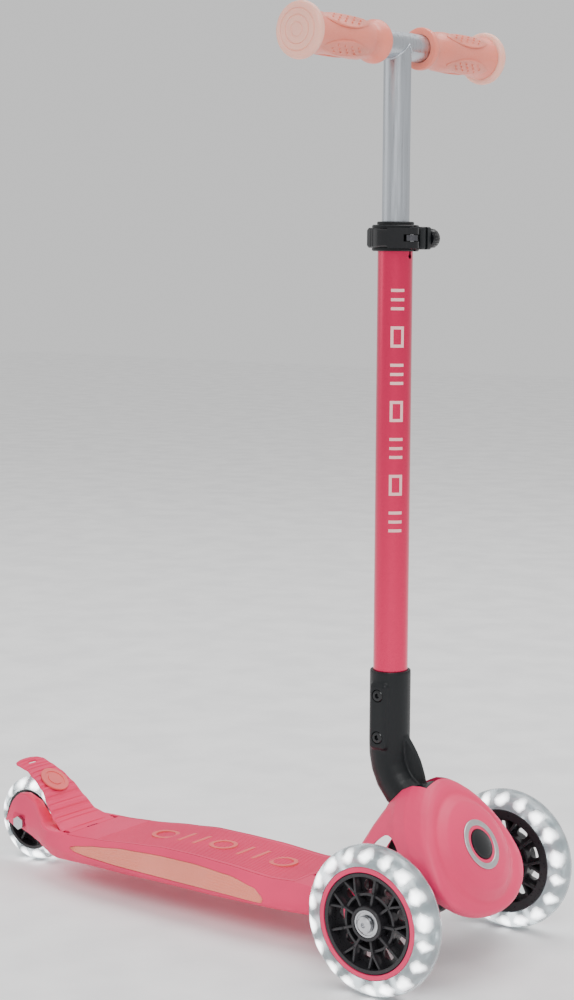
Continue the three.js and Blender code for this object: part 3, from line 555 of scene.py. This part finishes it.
def makeFaceTrim():
    # plain silver ring let into the face, and the glossy release button inside it
    ring = spun("cover_ring", [(16, -1.1), (21, -1.1), (21, 0), (20.6, 0.35), (16.4, 0.35), (16, 0)], 96)
    place(ring, coverAt, coverTurn @ Matrix.Rotation(pi / 2, 4, "X"))
    finishPiece(ring, "deck", silverPrint, ["button_ring"])
    dome = [(0, -5.8), (8.8, -5.8), (9, -4), (12.2, -4), (12.6, -3.6), (12.6, 0.2), (12.3, 0.8), (11.4, 1.1),
            (11, 1.0), (10.4, 1.2), (8, 1.7), (5, 2.1), (2.5, 2.3), (0, 2.35)]
    button = spun("release_button", dome, 72, closed=False)
    place(button, coverAt, coverTurn @ Matrix.Rotation(pi / 2, 4, "X"))
    finishPiece(button, "fold_button", blackGloss, ["fold_button"])


makeCover()
makeFaceTrim()
print("cover made")


# ---- elbow ----
elbow = {"radius": 17, "pivotX": -18, "pivotZ": 124, "tube": 14.6}


def makeElbow():
    px, pz = elbow["pivotX"], elbow["pivotZ"]
    sx = (stemAxis - originX) / mm
    path = [(sx, 236), (sx, 190), (sx, 176), (sx + 0.4, 166), (sx + 2.5, 156), (sx + 7, 146), (sx + 14, 137),
            (px - 12, pz + 4), (px - 6, pz - 1)]
    loops = []
    for i, (x, z) in enumerate(path):
        ax, az = path[max(i - 1, 0)]
        bx, bz = path[min(i + 1, len(path) - 1)]
        length = hypot(bx - ax, bz - az)
        dx, dz = (bx - ax) / length, (bz - az) / length
        loop = []
        for k in range(40):
            angle = 2 * pi * k / 40
            u, v = elbow["radius"] * cos(angle), elbow["radius"] * sin(angle)
            loop.append((x - u * dz, v, z + u * dx))
        loops.append(loop)
    arm = place(lofted("stem_elbow", loops), (originX, 0, 0))
    outline = [(0, -16.8), (19.5, -16.8), (20, -16.2), (20, 16.2), (19.5, 16.8), (0, 16.8)]
    knuckle = spun("knuckle", outline, 64, closed=False)
    place(knuckle, (originX + px * mm, 0, pz * mm))
    fin = sideCutter([(-50, 150), (-50, 188), (-41, 184), (-36, 178), (-31, 171), (-26.5, 163), (-23, 154),
                      (-20.5, 145), (-19, 136), (-22, 124)], -3, 3, "fin")
    screwPad = block((17, 12, 56), (sx, -13, 199), 3.2)
    place(screwPad, (originX, 0, 0))
    for part in (knuckle, fin, screwPad):
        useModifier(arm, "BOOLEAN", object=part, operation="UNION", solver="EXACT")
        bpy.data.objects.remove(part)
    remeshed(arm, 0.8, 5, 0.5)
    pickNone()
    bpy.ops.mesh.primitive_cylinder_add(vertices=96, radius=elbow["tube"] * mm, depth=0.1,
                                        location=(stemAxis, 0, 0.22))
    tools = [bpy.context.object]
    for height in (216.4, 181.4):
        pickNone()
        bpy.ops.mesh.primitive_cylinder_add(vertices=48, radius=5.4 * mm, depth=0.006,
                                            rotation=(pi / 2, 0, 0),
                                            location=(stemAxis, -0.0187, height * mm))
        tools.append(bpy.context.object)
    cutBy(arm, tools)
    finishPiece(cleanUp(arm, 40), "stem", blackNylon, ["elbow"])


def makeSocketScrew(word, height):
    # low cap head: rounded rim, hexagon recess
    head = spun("socket_screw_" + word, [(0, 0), (4.9, 0), (4.9, 2.6), (4.4, 3.1), (3, 3.3), (0, 3.3)], 48,
                closed=False)
    pickNone()
    bpy.ops.mesh.primitive_cylinder_add(vertices=6, radius=2.3 * mm, depth=0.004, rotation=(pi / 2, 0, 0),
                                        location=(0, 0.0034, 0))
    cutBy(head, [bpy.context.object])
    place(head, (stemAxis, -0.0160, height * mm), Matrix.Rotation(pi, 4, "X"))
    finishPiece(cleanUp(head, 30), "stem", blackGloss, ["elbow_screw_" + word])


makeElbow()
makeSocketScrew("upper", 216.4)
makeSocketScrew("lower", 181.4)
print("elbow made")


# ---- deck ----
deck = {"padRear": -387.5, "padFront": -124, "padInset": 2, "front": -64, "bayHalf": 15.3}
# x, bottom half width, bottom, widest half, widest at, top half width, top
deckRows = [
    [-484, 17, 37, 19, 38.5, 17.5, 40], [-475, 18, 33, 22, 42, 19, 58], [-465, 19, 33, 24, 44, 20.5, 67],
    [-455, 19.5, 30, 25.5, 44, 21.5, 68.5], [-440, 21, 25, 28, 40, 24, 64], [-430, 24, 22, 32, 38, 28, 53],
    [-421, 28, 20, 37, 34, 34, 46], [-410, 34, 20, 42, 33, 38, 45], [-396, 40, 21, 46, 33, 39, 45],
    [-380, 44, 23, 50, 33, 39.5, 45], [-350, 48, 25, 54, 33, 40, 46.7], [-300, 51, 26, 56.5, 33, 41, 51.4],
    [-270, 52, 27, 57.5, 33, 41, 54], [-235, 52, 27, 57.5, 33, 41, 54], [-200, 52, 27, 57.5, 33, 42, 53],
    [-150, 52, 28, 57.5, 33, 42, 50], [-120, 52, 29, 57, 34, 42, 52], [-100, 51, 30, 55, 36, 46, 53],
    [-64, 48, 33, 52, 40, 48, 54],
]
insertLine = [[-374, 36.9, 37.6], [-366, 35.4, 39.6], [-345, 34.6, 42.5], [-310, 34, 46.3], [-268, 34, 48.5],
              [-230, 33.6, 48.5], [-190, 33.4, 46.5], [-160, 33, 42], [-150, 33, 38.2], [-146, 33.4, 35.6]]


def rowAt(table, x):
    rows = sorted(table)
    for a, b in zip(rows, rows[1:]):
        if a[0] <= x <= b[0]:
            t = (x - a[0]) / (b[0] - a[0])
            t = t * t * (3 - 2 * t) * 0.5 + t * 0.5
            return [u + (v - u) * t for u, v in zip(a, b)]
    return rows[0] if x < rows[0][0] else rows[-1]


def deckOutline(x):
    _, bottomHalf, bottom, widestHalf, widest, topHalf, top = rowAt(deckRows, x)
    bulge = (widestHalf - topHalf) * 0.42
    side = [(bottomHalf - 3, bottom), (bottomHalf, bottom + 0.3),
            (widestHalf - 1.9, bottom + (widest - bottom) * 0.5),
            (widestHalf - 0.2, widest - 1.2), (widestHalf, widest + 0.4),
            (widestHalf - bulge * 0.42, widest + (top - widest) * 0.26),
            (widestHalf - bulge, widest + (top - widest) * 0.5),
            (topHalf + (widestHalf - bulge - topHalf) * 0.42, widest + (top - widest) * 0.78),
            (topHalf + 1.0, top - 1.3), (topHalf - 0.2, top - 0.2), (topHalf - 1.2, top)]
    return [(x, y, z) for y, z in side] + [(x, -y, z) for y, z in reversed(side)]


def stretch(rear, front, step):
    count = max(2, int((front - rear) / step))
    return [rear + (front - rear) * i / count for i in range(count + 1)]


def topSlab(name, rear, front, inset, low, high):
    loops = []
    for x in stretch(rear, front, 6):
        row = rowAt(deckRows, x)
        half, top = row[5] - inset, row[6]
        loops.append([(x, half, top + low), (x, half, top + high),
                      (x, -half, top + high), (x, -half, top + low)])
    return place(lofted(name, loops), (originX, 0, 0))


def ribbed(item, pitch, deep, rear, front, half):
    # fine lengthwise grooves pressed into the top
    tools = []
    count = int(half * 2 / pitch)
    for i in range(count):
        y = (i + 0.5 - count / 2) * pitch
        loops = []
        for x in stretch(rear, front, 9):
            top = rowAt(deckRows, x)[6]
            loops.append([(x, y - 0.55, top + 1), (x, y - 0.35, top - deep), (x, y + 0.35, top - deep),
                          (x, y + 0.55, top + 1)])
        tools.append(lofted("groove", loops))
    return cutBy(item, [place(joined("grooves", tools), (originX, 0, 0))])


def insertStrip(name, side, depthIn, proud, grow, rounded):
    loops = []
    for x in stretch(insertLine[0][0], insertLine[-1][0], 3):
        _, low, high = rowAt(insertLine, x)
        _, _, _, widestHalf, widest, topHalf, top = rowAt(deckRows, x)

        def flank(z):
            rise = max(0, (z - widest) / (top - widest))
            return widestHalf - (widestHalf - topHalf) * 0.9 * rise
        shape = [(low - grow, -depthIn), (low - grow, proud - rounded)]
        count = 13
        for i in range(count):
            z = low - grow + (high - low + 2 * grow) * (i + 0.5) / count
            wave = 0.35 * (i % 2) if rounded else 0
            shape.append((z, proud - wave))
        shape += [(high + grow, proud - rounded), (high + grow, -depthIn)]
        end = grow * (1 if x == insertLine[-1][0] else -1 if x == insertLine[0][0] else 0)
        loops.append([(x + end, side * (flank(z) + out), z) for z, out in shape])
    return place(lofted(name, loops, angle=25), (originX, 0, 0))


def makeDeck():
    loops = [deckOutline(x) for x in stretch(deckRows[0][0], deck["front"], 5)]
    body = place(lofted("deck_body", loops, angle=40), (originX, 0, 0))
    bed = topSlab("padBed", deck["padRear"] - 0.35, deck["padFront"] + 0.5, deck["padInset"] - 0.7, -3.3, 8)
    cutBy(body, [bed])
    bayEdge = [(-600, 0), (-413, 0), (-413, 100), (-600, 100)]
    bay = sideCutter(bayEdge, -deck["bayHalf"], deck["bayHalf"], "bay")
    channel = sideCutter([(-122, 0), (0, 0), (0, 90), (-122, 90)], -17.5, 17.5, "channel")
    axle = place(spun("axleHole", [(0, -60), (4, -60), (4, 60), (0, 60)], 32, closed=False), rearAxle)
    dropouts = []
    for side in (1, -1):
        dropouts.append(block((18, 40, 18), (originX / mm - 461, side * 42, 40), 1.5, "dropout"))
    cutBy(body, [bay, channel, axle, *dropouts])
    brakeRows = [(-424, 26.5, 50), (-411, 29.5, 42), (-396, 34.5, 36.5), (-388.4, 34.5, 36.5)]
    under = [[(x, half, low), (x, half, 95), (x, -half, 95), (x, -half, low)] for x, half, low in brakeRows]
    pinHole = place(spun("pinHole", [(0, -36), (2.3, -36), (2.3, 36), (0, 36)], 24, closed=False),
                    (originX - 0.393, 0, 0.0415))
    cutBy(body, [place(lofted("brakeRoom", under), (originX, 0, 0)), pinHole])
    for side in (1, -1):
        cutBy(body, [insertStrip("insertBed", side, 3.5, 6, 0.35, 0)])
    finishPiece(cleanUp(body, 40), "deck", pinkSoft, ["deck"])


def makePad():
    pad = topSlab("tread_pad", deck["padRear"], deck["padFront"], deck["padInset"] + 0.4, -3, 0)
    ribbed(pad, 3.1, 0.7, -352, deck["padFront"] - 3, 37)
    finishPiece(cleanUp(pad, 30), "deck", pinkSoft, ["deck_pad"])


motif = {"rings": (-300, -233, -166), "bars": (-275, -258, -208, -191)}


def makeMotif():
    # plain rings and bars moulded in a soft colour along the pad, a pattern and not a word
    parts = []
    ringEdge = [(9, -1), (12.8, -1), (12.8, 0.5), (12.4, 0.8), (9.4, 0.8), (9, 0.5)]
    for x in sorted(motif["rings"] + motif["bars"]):
        top = rowAt(deckRows, x)[6]
        if x in motif["rings"]:
            shape = spun("motifRing", ringEdge, 48)
            place(shape, (originX + x * mm, 0, (top - 0.3) * mm), Matrix.Rotation(-pi / 2, 4, "X"))
        else:
            shape = block((3.8, 25.6, 2), (originX / mm + x, 0, top - 0.5), 0.4, "motifBar")
        parts.append(shape)
    raised = joined("pad_motif", parts)
    finishPiece(cleanUp(raised, 30), "deck", motifPeachAndBadgeShade)


def makeInserts():
    for side, word in ((1, "left"), (-1, "right")):
        strip = insertStrip("side_insert_" + word, side, 3.2, 0.8, 0, 0.6)
        finishPiece(strip, "deck", peach, ["side_insert_" + word])


makeDeck()
makePad()
makeMotif()
makeInserts()
print("deck made")


# ---- brake ----
brake = {"pivotX": -393, "thick": 2.1, "ribs": 16}
brakeLine = [[-82, 95.5, 14], [-76, 94.3, 17.7], [-64, 91, 17], [-53, 85.5, 19], [-40, 76.5, 21],
             [-28, 63, 25], [-18, 52.5, 28], [-3, 46, 33.5]]


def brakeNormal(x):
    before, after = rowAt(brakeLine, x - 1), rowAt(brakeLine, x + 1)
    dx, dz = after[0] - before[0] or 1, after[1] - before[1]
    length = hypot(dx, dz)
    return -dz / length, dx / length


def makeBrake():
    # across the plate: share of the half width, depth under the top, whether ribs are cut there
    near = [(1, 2.2, 0), (0.97, 1.2, 0), (0.9, 0.8, 1), (0.6, 0.25, 1), (0.3, 0.05, 1)]
    section = [*near, (0, 0, 1), *[(-part, drop, cut) for part, drop, cut in reversed(near)],
               (-0.98, brake["thick"], 0), (0.98, brake["thick"], 0)]
    loops = []
    count = 192
    for i in range(count + 1):
        x = -82 + 79 * i / count
        _, top, half = rowAt(brakeLine, x)
        nx, nz = brakeNormal(min(max(x, -80.9), -4.1))
        turn = cos(2 * pi * brake["ribs"] * i / count)
        rib = 0 if x > -10 or x < -79 else -0.9 * min(1, max(0, 0.5 + turn * 2))
        if x < -80.5:
            half -= 2.5 * (-80.5 - x)
        loop = []
        for part, drop, cut in section:
            deep = -drop + rib * cut
            loop.append((brake["pivotX"] + x + nx * deep, part * half, top + nz * deep))
        loops.append(loop)
    fender = place(lofted("brake_plate", loops, angle=30), (originX, 0, 0))
    slot = block((3, 11, 20), (originX / mm - 393 - 74, 0, 92), 1.4, "slot")
    barrel = spun("barrel", [(0, -30), (4, -30), (4, 30), (0, 30)], 40, closed=False)
    place(barrel, (originX - 0.393, 0, 0.0415))
    web = block((5, 60, 5), (originX / mm - 396.5, 0, 43), 0.3, "web")
    for part in (barrel, web):
        useModifier(fender, "BOOLEAN", object=part, operation="UNION", solver="EXACT")
        bpy.data.objects.remove(part)
    bore = place(spun("bore", [(0, -60), (2.3, -60), (2.3, 60), (0, 60)], 24, closed=False),
                 (originX - 0.393, 0, 0.0415))
    springBay = block((10, 14, 8.4), (originX / mm - 393, 0, 40.4), 0, "springBay")
    lean = atan2(85.5 - 76.5, 13)
    badgeTurn = Matrix.Rotation(lean, 4, "Y")
    badgeAt = (originX - 0.438, 0, 0.0805)
    bed = place(spun("bed", [(0, -1.2), (14.3, -1.2), (14.3, 8), (0, 8)], 64, closed=False), badgeAt,
                badgeTurn @ Matrix.Rotation(pi / 2, 4, "X"))
    cutBy(fender, [bore, springBay, slot, bed])
    finishPiece(cleanUp(fender, 30), "brake", pinkSoft, ["brake_fender"])
    badge = spun("brake_badge_disc", [(0, -0.9), (13.6, -0.9), (14, -0.4), (14, 0.9), (13.6, 1.2), (9.8, 1.2),
                                      (9.5, 0.4), (7, 0.4), (6.7, 1.3), (0, 1.4)], 64, closed=False)
    place(badge, badgeAt, badgeTurn @ Matrix.Rotation(pi / 2, 4, "X"))
    # the whole badge disc takes the darker peach, painted shade for its recessed middle
    finishPiece(badge, "brake", motifPeachAndBadgeShade, ["brake_badge"])


makeBrake()
print("brake made")


# ---- upright tubes ----
tubes = {"radius": 14.3, "wall": 1.4, "inner": 11.1, "innerWall": 1.5, "bottom": 170, "top": 600, "bar": 742,
         "innerBottom": 480, "barHalf": 125}


def uprightTurn(item):
    # pieces spun round Y are stood up on the stem's axis
    return place(item, (stemAxis, 0, 0), Matrix.Rotation(pi / 2, 4, "X"))


def rod(name, radius, low, high, steps=64):
    return spun(name, [(0, low), (radius, low), (radius, high), (0, high)], steps, closed=False)


def makeOuterTube():
    r, w, low, high = tubes["radius"], tubes["wall"], tubes["bottom"], tubes["top"]
    outline = [(r - w, low), (r, low), (r, high - 0.4), (r - 0.4, high), (r - w + 0.3, high),
               (r - w, high - 0.4)]
    tube = spun("steering_tube", outline, 96)
    uprightTurn(tube)
    slit = block((30, 2, 40), (stemAxis / mm + 15, 0, high - 4), 0, "slit")
    end = rod("slitEnd", 2, 0, 30, 32)
    place(end, (stemAxis, 0, (high - 25) * mm), Matrix.Rotation(-pi / 2, 4, "Z"))
    holes = [place(rod("screwHole", 2.8, -30, 30, 24), (stemAxis, 0, z * mm)) for z in (216.4, 181.4)]
    cutBy(tube, [slit, end, *holes])
    finishPiece(cleanUp(tube, 40), "stem", pinkTube, ["outer_tube"])


def wrapped(name, shapes, facing, radius, out):
    # flat shapes of (along the tube, across) laid on the tube's surface
    points, faces = [], []
    for shape in shapes:
        start = len(points)
        count = len(shape)
        for level in (radius - 0.2, radius + out):
            for along, across in shape:
                angle = facing + across / radius
                points.append((level * cos(angle) * mm, level * sin(angle) * mm, along * mm))
        faces.append(tuple(start + i for i in reversed(range(count))))
        faces.append(tuple(start + count + i for i in range(count)))
        for i in range(count):
            j = (i + 1) % count
            faces.append((start + i, start + j, start + count + j, start + count + i))
    return place(freshMesh(name, points, (), faces), (stemAxis, 0, 0))


def barShape(low, high, left, right, steps=8):
    across = [left + (right - left) * i / steps for i in range(steps + 1)]
    return [(low, a) for a in across] + [(high, a) for a in reversed(across)]


def makeTubeMarks():
    # an upright run of plain bars and open squares, a pattern and not a word
    shapes = []
    for i in range(7):
        z = 352 + 30 * i
        if i % 2:
            shapes += [barShape(z, z + 17, -5.5, -3.2, 3), barShape(z, z + 17, 3.2, 5.5, 3),
                       barShape(z, z + 2.4, -3.2, 3.2, 6), barShape(z + 14.6, z + 17, -3.2, 3.2, 6)]
        else:
            shapes += [barShape(z, z + 2.4, -5.5, 5.5), barShape(z + 7.2, z + 9.6, -5.5, 5.5),
                       barShape(z + 14.6, z + 17, -5.5, 5.5)]
    marks = wrapped("tube_marks", shapes, radians(-46), tubes["radius"], 0.06)
    finishPiece(cleanUp(marks, 30), "stem", inkPale)


def makeTBar():
    r, low, bar = tubes["inner"], tubes["innerBottom"], tubes["bar"]
    post = uprightTurn(rod("handle_post", r, low, bar))
    cross = place(rod("handle_cross", r, -tubes["barHalf"], tubes["barHalf"]), (stemAxis, 0, bar * mm))
    useModifier(post, "BOOLEAN", object=cross, operation="UNION", solver="EXACT")
    bpy.data.objects.remove(cross)
    inside = tubes["innerWall"]
    cutBy(post, [uprightTurn(rod("bore", r - inside, low - 5, bar - r))])
    finishPiece(cleanUp(post, 35), "handlebar", alloy, ["t_bar"])
    # the weld bead that runs round the saddle where the two tubes meet
    count = 96
    loops = []
    for i in range(count):
        angle = 2 * pi * i / count
        x, y = r * cos(angle), r * sin(angle)
        z = bar - (r * r - x * x) ** 0.5
        loop = [(x * (1 + 1.1 / r * cos(a)), y * (1 + 1.1 / r * cos(a)), z - 0.2 + 1.0 * sin(a))
                for a in [2 * pi * k / 10 for k in range(10)]]
        loops.append(loop)
    points = [tuple(v * mm for v in p) for loop in loops for p in loop]
    faces = []
    for i in range(count):
        for k in range(10):
            a, b = i * 10 + k, i * 10 + (k + 1) % 10
            c, d = ((i + 1) % count) * 10 + (k + 1) % 10, ((i + 1) % count) * 10 + k
            faces.append((a, b, c, d))
    bead = place(freshMesh("weld_bead", points, (), faces), (stemAxis, 0, 0))
    finishPiece(cleanUp(bead, 60), "handlebar", alloyCross)


def makeBush():
    r = tubes["inner"] + 0.3
    out = tubes["radius"] - tubes["wall"] - 0.3
    top = tubes["top"]
    outline = [(r, top - 22), (out, top - 22), (out, top + 0.3), (15, top + 0.3), (15, top + 1.9),
               (14.4, top + 2.6), (r + 0.5, top + 2.6), (r, top + 2.1)]
    bush = spun("sliding_bush", outline, 72)
    finishPiece(uprightTurn(bush), "stem", blackNylon, ["liner_bush"])


makeOuterTube()
makeTubeMarks()
makeTBar()
makeBush()
print("tubes made")


# ---- clamp ----
clamp = {"top": 600, "high": 21, "bolt": 25, "earOut": 7.6, "wall": 4.4}


def makeCollar():
    top, high = clamp["top"], clamp["high"]
    inner = tubes["radius"] + 0.3
    outer = inner + clamp["wall"]
    low = top - high
    middle = top - high / 2
    shape = [(0, low), (outer - 0.8, low), (outer, low + 0.8), (outer, low + 3), (outer - 0.7, low + 3.6),
             (outer - 0.7, top - 3.6), (outer, top - 3), (outer, top - 0.8), (outer - 0.8, top), (0, top)]
    collar = uprightTurn(spun("seat_collar", shape, 96, closed=False))
    ears = block((15, clamp["earOut"] * 2, high - 3), (stemAxis / mm + 22.5, 0, middle), 1.6, "ears")
    useModifier(collar, "BOOLEAN", object=ears, operation="UNION", solver="EXACT")
    bpy.data.objects.remove(ears)
    room = uprightTurn(rod("tubeRoom", inner, low - 5, top + 5, 96))
    split = block((60, 3.2, high + 10), (stemAxis / mm + 30, 0, middle), 0, "split")
    boltHole = place(rod("boltHole", 2.8, -40, 40, 32), (stemAxis + clamp["bolt"] * mm, 0, middle * mm))
    cutBy(collar, [room, split, boltHole])
    finishPiece(cleanUp(collar, 35), "stem", blackNylon, ["clamp_collar"])


def makeLever():
    middle = clamp["top"] - clamp["high"] / 2
    armIn = tubes["radius"] + 0.3 + clamp["wall"] + 0.7
    pivot = (clamp["bolt"], -clamp["earOut"] - 6.5)
    # a blade that wraps the collar, thinner and flared at the finger end
    loops = []
    steps = 44
    for i in range(steps + 1):
        t = i / steps
        angle = radians(305 - 73 * t)
        thick = 4.6 - 1.5 * t
        tall = 8 - 1.6 * sin(pi * min(1, t * 1.15)) * (1 - t) - (1.2 if i == steps else 0)
        lift = 0.9 * max(0, t - 0.75) * 4
        rib = 0.35 if t > 0.72 and i % 4 < 2 else 0
        loop = []
        for radius, z in ((armIn + lift, -tall), (armIn + lift + thick + rib - 0.9, -tall),
                          (armIn + lift + thick + rib, -tall + 1), (armIn + lift + thick + rib, tall - 1),
                          (armIn + lift + thick + rib - 0.9, tall), (armIn + lift, tall)):
            loop.append((radius * cos(angle), radius * sin(angle), middle + z))
        loops.append(loop)
    blade = place(lofted("quick_lever", loops, angle=35), (stemAxis, 0, 0))
    pinAt = (stemAxis + pivot[0] * mm, pivot[1] * mm, middle * mm)
    upright = Matrix.Rotation(pi / 2, 4, "X")
    hub = place(rod("leverHub", 6, -8, 8, 48), pinAt, upright)
    neckEdge = [(8, -armIn - 4), (pivot[0], pivot[1] - 5.6), pivot, (8, -armIn + 4)]
    neckLoops = [[(x, y, middle + z) for x, y in neckEdge] for z in (-8, 8)]
    neck = place(lofted("neck", neckLoops), (stemAxis, 0, 0))
    for part in (hub, neck):
        useModifier(blade, "BOOLEAN", object=part, operation="UNION", solver="EXACT")
        bpy.data.objects.remove(part)
    low, top = clamp["top"] - clamp["high"] - 5, clamp["top"] + 5
    collarRoom = uprightTurn(rod("collarRoom", armIn - 0.4, low, top, 96))
    earDeep = clamp["earOut"] + 0.3
    earRoom = block((60, earDeep, 40), (stemAxis / mm + 30, -earDeep / 2, middle), 0, "ear")
    eyeRoom = place(rod("eyeRoom", 5.8, -2.8, 2.8, 32), pinAt, upright)
    boltRoom = block((23.4, 34.1, 5.6), (stemAxis / mm + pivot[0] + 8.3, -17.05, middle), 0, "boltRoom")
    pinHole = place(rod("pinHole", 2.3, -20, 20, 24), pinAt, upright)
    cutBy(blade, [collarRoom, earRoom, eyeRoom, boltRoom, pinHole])
    cleanUp(blade, 35)
    useModifier(blade, "BEVEL", width=0.35 * mm, segments=2, limit_method="ANGLE", angle_limit=radians(50))
    finishPiece(cleanUp(blade, 35), "clamp_lever", blackGloss, ["clamp_lever"])


def makeNut():
    # round finger nut with a knurled edge
    e = clamp["earOut"]
    nut = spun("finger_nut", [(2.8, e + 0.3), (6.6, e + 0.3), (7.2, e + 0.9), (7.9, e + 2.2), (7.9, e + 7.6),
                              (6.9, e + 9.4), (6.3, e + 10), (3.4, e + 10), (2.8, e + 9.6)], 72)
    grooves = []
    for i in range(18):
        angle = 2 * pi * i / 18
        at = (8.1 * cos(angle) * mm, 0, 8.1 * sin(angle) * mm)
        grooves.append(place(rod("knurl", 0.8, e + 1.6, e + 12, 10), at))
    cutBy(nut, [joined("knurls", grooves)])
    place(nut, (stemAxis + clamp["bolt"] * mm, 0, (clamp["top"] - clamp["high"] / 2) * mm))
    finishPiece(cleanUp(nut, 35), "stem", blackGloss, ["adjusting_nut"])


makeCollar()
makeLever()
makeNut()
print("clamp made")


# ---- grips ----
grip = {"start": 30.5, "radius": 16.2, "end": 126}


def makeGrips():
    s, r, e = grip["start"], grip["radius"], grip["end"]
    bore = tubes["inner"] + 0.3
    skin = [(bore, s), (r - 0.6, s), (r + 0.4, s + 0.5), (r + 1, s + 2), (r + 0.8, s + 5), (14.8, s + 8),
            (13.5, s + 10.5), (13.4, s + 13), (13.8, s + 17), (15, s + 21), (r - 0.3, s + 26), (r, s + 34),
            (15.6, s + 46), (15.1, s + 58), (15.3, s + 68), (r, e - 12), (r + 1, e - 5), (r + 1.4, e - 1),
            (bore, e - 0.3)]
    body = spun("grip_body", skin, 96)
    # raised leaf-shaped pads with small bumps, four round the grip
    bumps = [(9 * i, 0) for i in range(-2, 3)] + [(9 * i + 4.5, 3 * j) for i in range(-2, 2) for j in (-1, 1)]
    pads = []
    for k in range(4):
        facing = pi / 2 * k + pi / 4
        for middle, reach, wide in ((s + 56, 31, 7.6),):
            outline = []
            for i in range(24):
                t = 2 * pi * i / 24
                outline.append((middle + reach * cos(t), wide * sin(t) * abs(sin(t)) ** 0.3))
            pads.append((facing, outline))
            for dx, dy in bumps:
                turns = [2 * pi * i / 10 for i in range(10)]
                dot = [(middle + dx + 0.75 * cos(a), dy + 0.75 * sin(a)) for a in turns]
                pads.append((facing, dot))
    shapes = []
    for number, (facing, outline) in enumerate(pads):
        points, faces = [], []
        count = len(outline)
        dot = count == 10
        levels = ((14.3, 1), (17.1 if dot else 16.5, 1), (17.5 if dot else 16.9, 0.8 if dot else 0.9))
        cx = sum(a for a, _ in outline) / count
        cy = sum(b for _, b in outline) / count
        for level, shrink in levels:
            for along, across in outline:
                u, v = cx + (along - cx) * shrink, cy + (across - cy) * shrink
                angle = facing + v / 16
                points.append((level * cos(angle) * mm, u * mm, level * sin(angle) * mm))
        faces.append(tuple(reversed(range(count))))
        faces.append(tuple(2 * count + i for i in range(count)))
        for row in (0, 1):
            for i in range(count):
                j = (i + 1) % count
                faces.append((row * count + i, row * count + j, (row + 1) * count + j, (row + 1) * count + i))
        shapes.append(cleanUp(freshMesh("pad%d" % number, points, (), faces), 40))
    body = cleanUp(joined("grip_body", [body, *shapes]), 40, 0.000001)
    cap = spun("end_cap", [(0, e), (17.6, e), (19, e + 0.3), (20.6, e + 1.2), (21.6, e + 2.6), (21.8, e + 4),
                           (21.4, e + 5.6), (20.4, e + 6.8), (18.6, e + 7.6), (16.4, e + 7.7), (16, e + 7.2),
                           (15.4, e + 7.2), (15, e + 8), (11.4, e + 8.2), (11, e + 7.6), (10.4, e + 7.6),
                           (10, e + 8.4), (6, e + 8.6), (5.6, e + 8.1), (5, e + 8.1), (4.6, e + 8.7),
                           (0, e + 8.8)],
               96, closed=False)
    at = (stemAxis, 0, tubes["bar"] * mm)
    for side, word in ((1, "left"), (-1, "right")):
        turn = Matrix.Rotation(0 if side == 1 else pi, 4, "Z")
        skinned = copied(body, "grip_body_" + word, at, turn)
        finishPiece(skinned, "handlebar", peach, ["grip_" + word])
        capped = copied(cap, "end_cap_" + word, at, turn)
        finishPiece(capped, "handlebar", peachPale, ["grip_cap_" + word])
    for item in (body, cap):
        bpy.data.objects.remove(item)


makeGrips()
print("grips made")


# ---- floor, light and camera ----
studio = {"floor": (0.97, 0.97, 0.975), "key": 40, "fill": 8, "top": 48, "sky": 0.8}


def addLight(name, at, aim, size, power):
    lamp = bpy.data.lights.new(name, "AREA")
    lamp.shape = "DISK"
    lamp.size = size
    lamp.energy = power
    item = bpy.data.objects.new(name, lamp)
    bpy.context.collection.objects.link(item)
    item.location = at
    item.rotation_euler = (Vector(aim) - Vector(at)).to_track_quat("-Z", "Y").to_euler()


def addStudio():
    pickNone()
    bpy.ops.mesh.primitive_plane_add(size=14, location=(0, 0, -0.0005))
    floor = bpy.context.object
    floor.name = "floor"
    floor.data.materials.append(mouldedPlastic("floorPaint", studio["floor"], 0.75, 40, 0.02))
    addLight("keyLight", (1.6, -1.9, 2.2), (0, 0, 0.3), 1.6, studio["key"])
    addLight("fillLight", (-2.2, -1.2, 1.3), (0, 0, 0.3), 2.0, studio["fill"])
    addLight("topLight", (0.2, 0.8, 2.8), (0, 0, 0.2), 2.4, studio["top"])
    world = bpy.data.worlds.new("studioSky")
    bpy.context.scene.world = world
    world.use_nodes = True
    background = world.node_tree.nodes["Background"]
    background.inputs["Color"].default_value = (1, 1, 1, 1)
    background.inputs["Strength"].default_value = studio["sky"]


# heading and height of the view, lens, and how far the frame is shifted
view = {"at": (0.85293, -1.34725, 0.57733), "azimuth": 35.272, "elevation": 6.819, "roll": 0.522,
        "lens": 71.98, "shiftX": -0.0620, "shiftY": -0.0080}


def addCamera():
    lens = bpy.data.cameras.new("camera")
    lens.sensor_width = 36
    lens.sensor_fit = "AUTO"
    lens.lens = view["lens"]
    lens.shift_x = view["shiftX"]
    lens.shift_y = view["shiftY"]
    camera = bpy.data.objects.new("camera", lens)
    bpy.context.collection.objects.link(camera)
    az, el = radians(view["azimuth"]), radians(view["elevation"])
    back = Vector((sin(az) * cos(el), -cos(az) * cos(el), sin(el)))
    turn = back.to_track_quat("Z", "Y") @ Matrix.Rotation(radians(view["roll"]), 4, "Z").to_quaternion()
    camera.rotation_euler = turn.to_euler()
    camera.location = Vector(view["at"]) + Vector((originX, 0, 0))
    bpy.context.scene.camera = camera


addStudio()
addCamera()
print("studio ready")
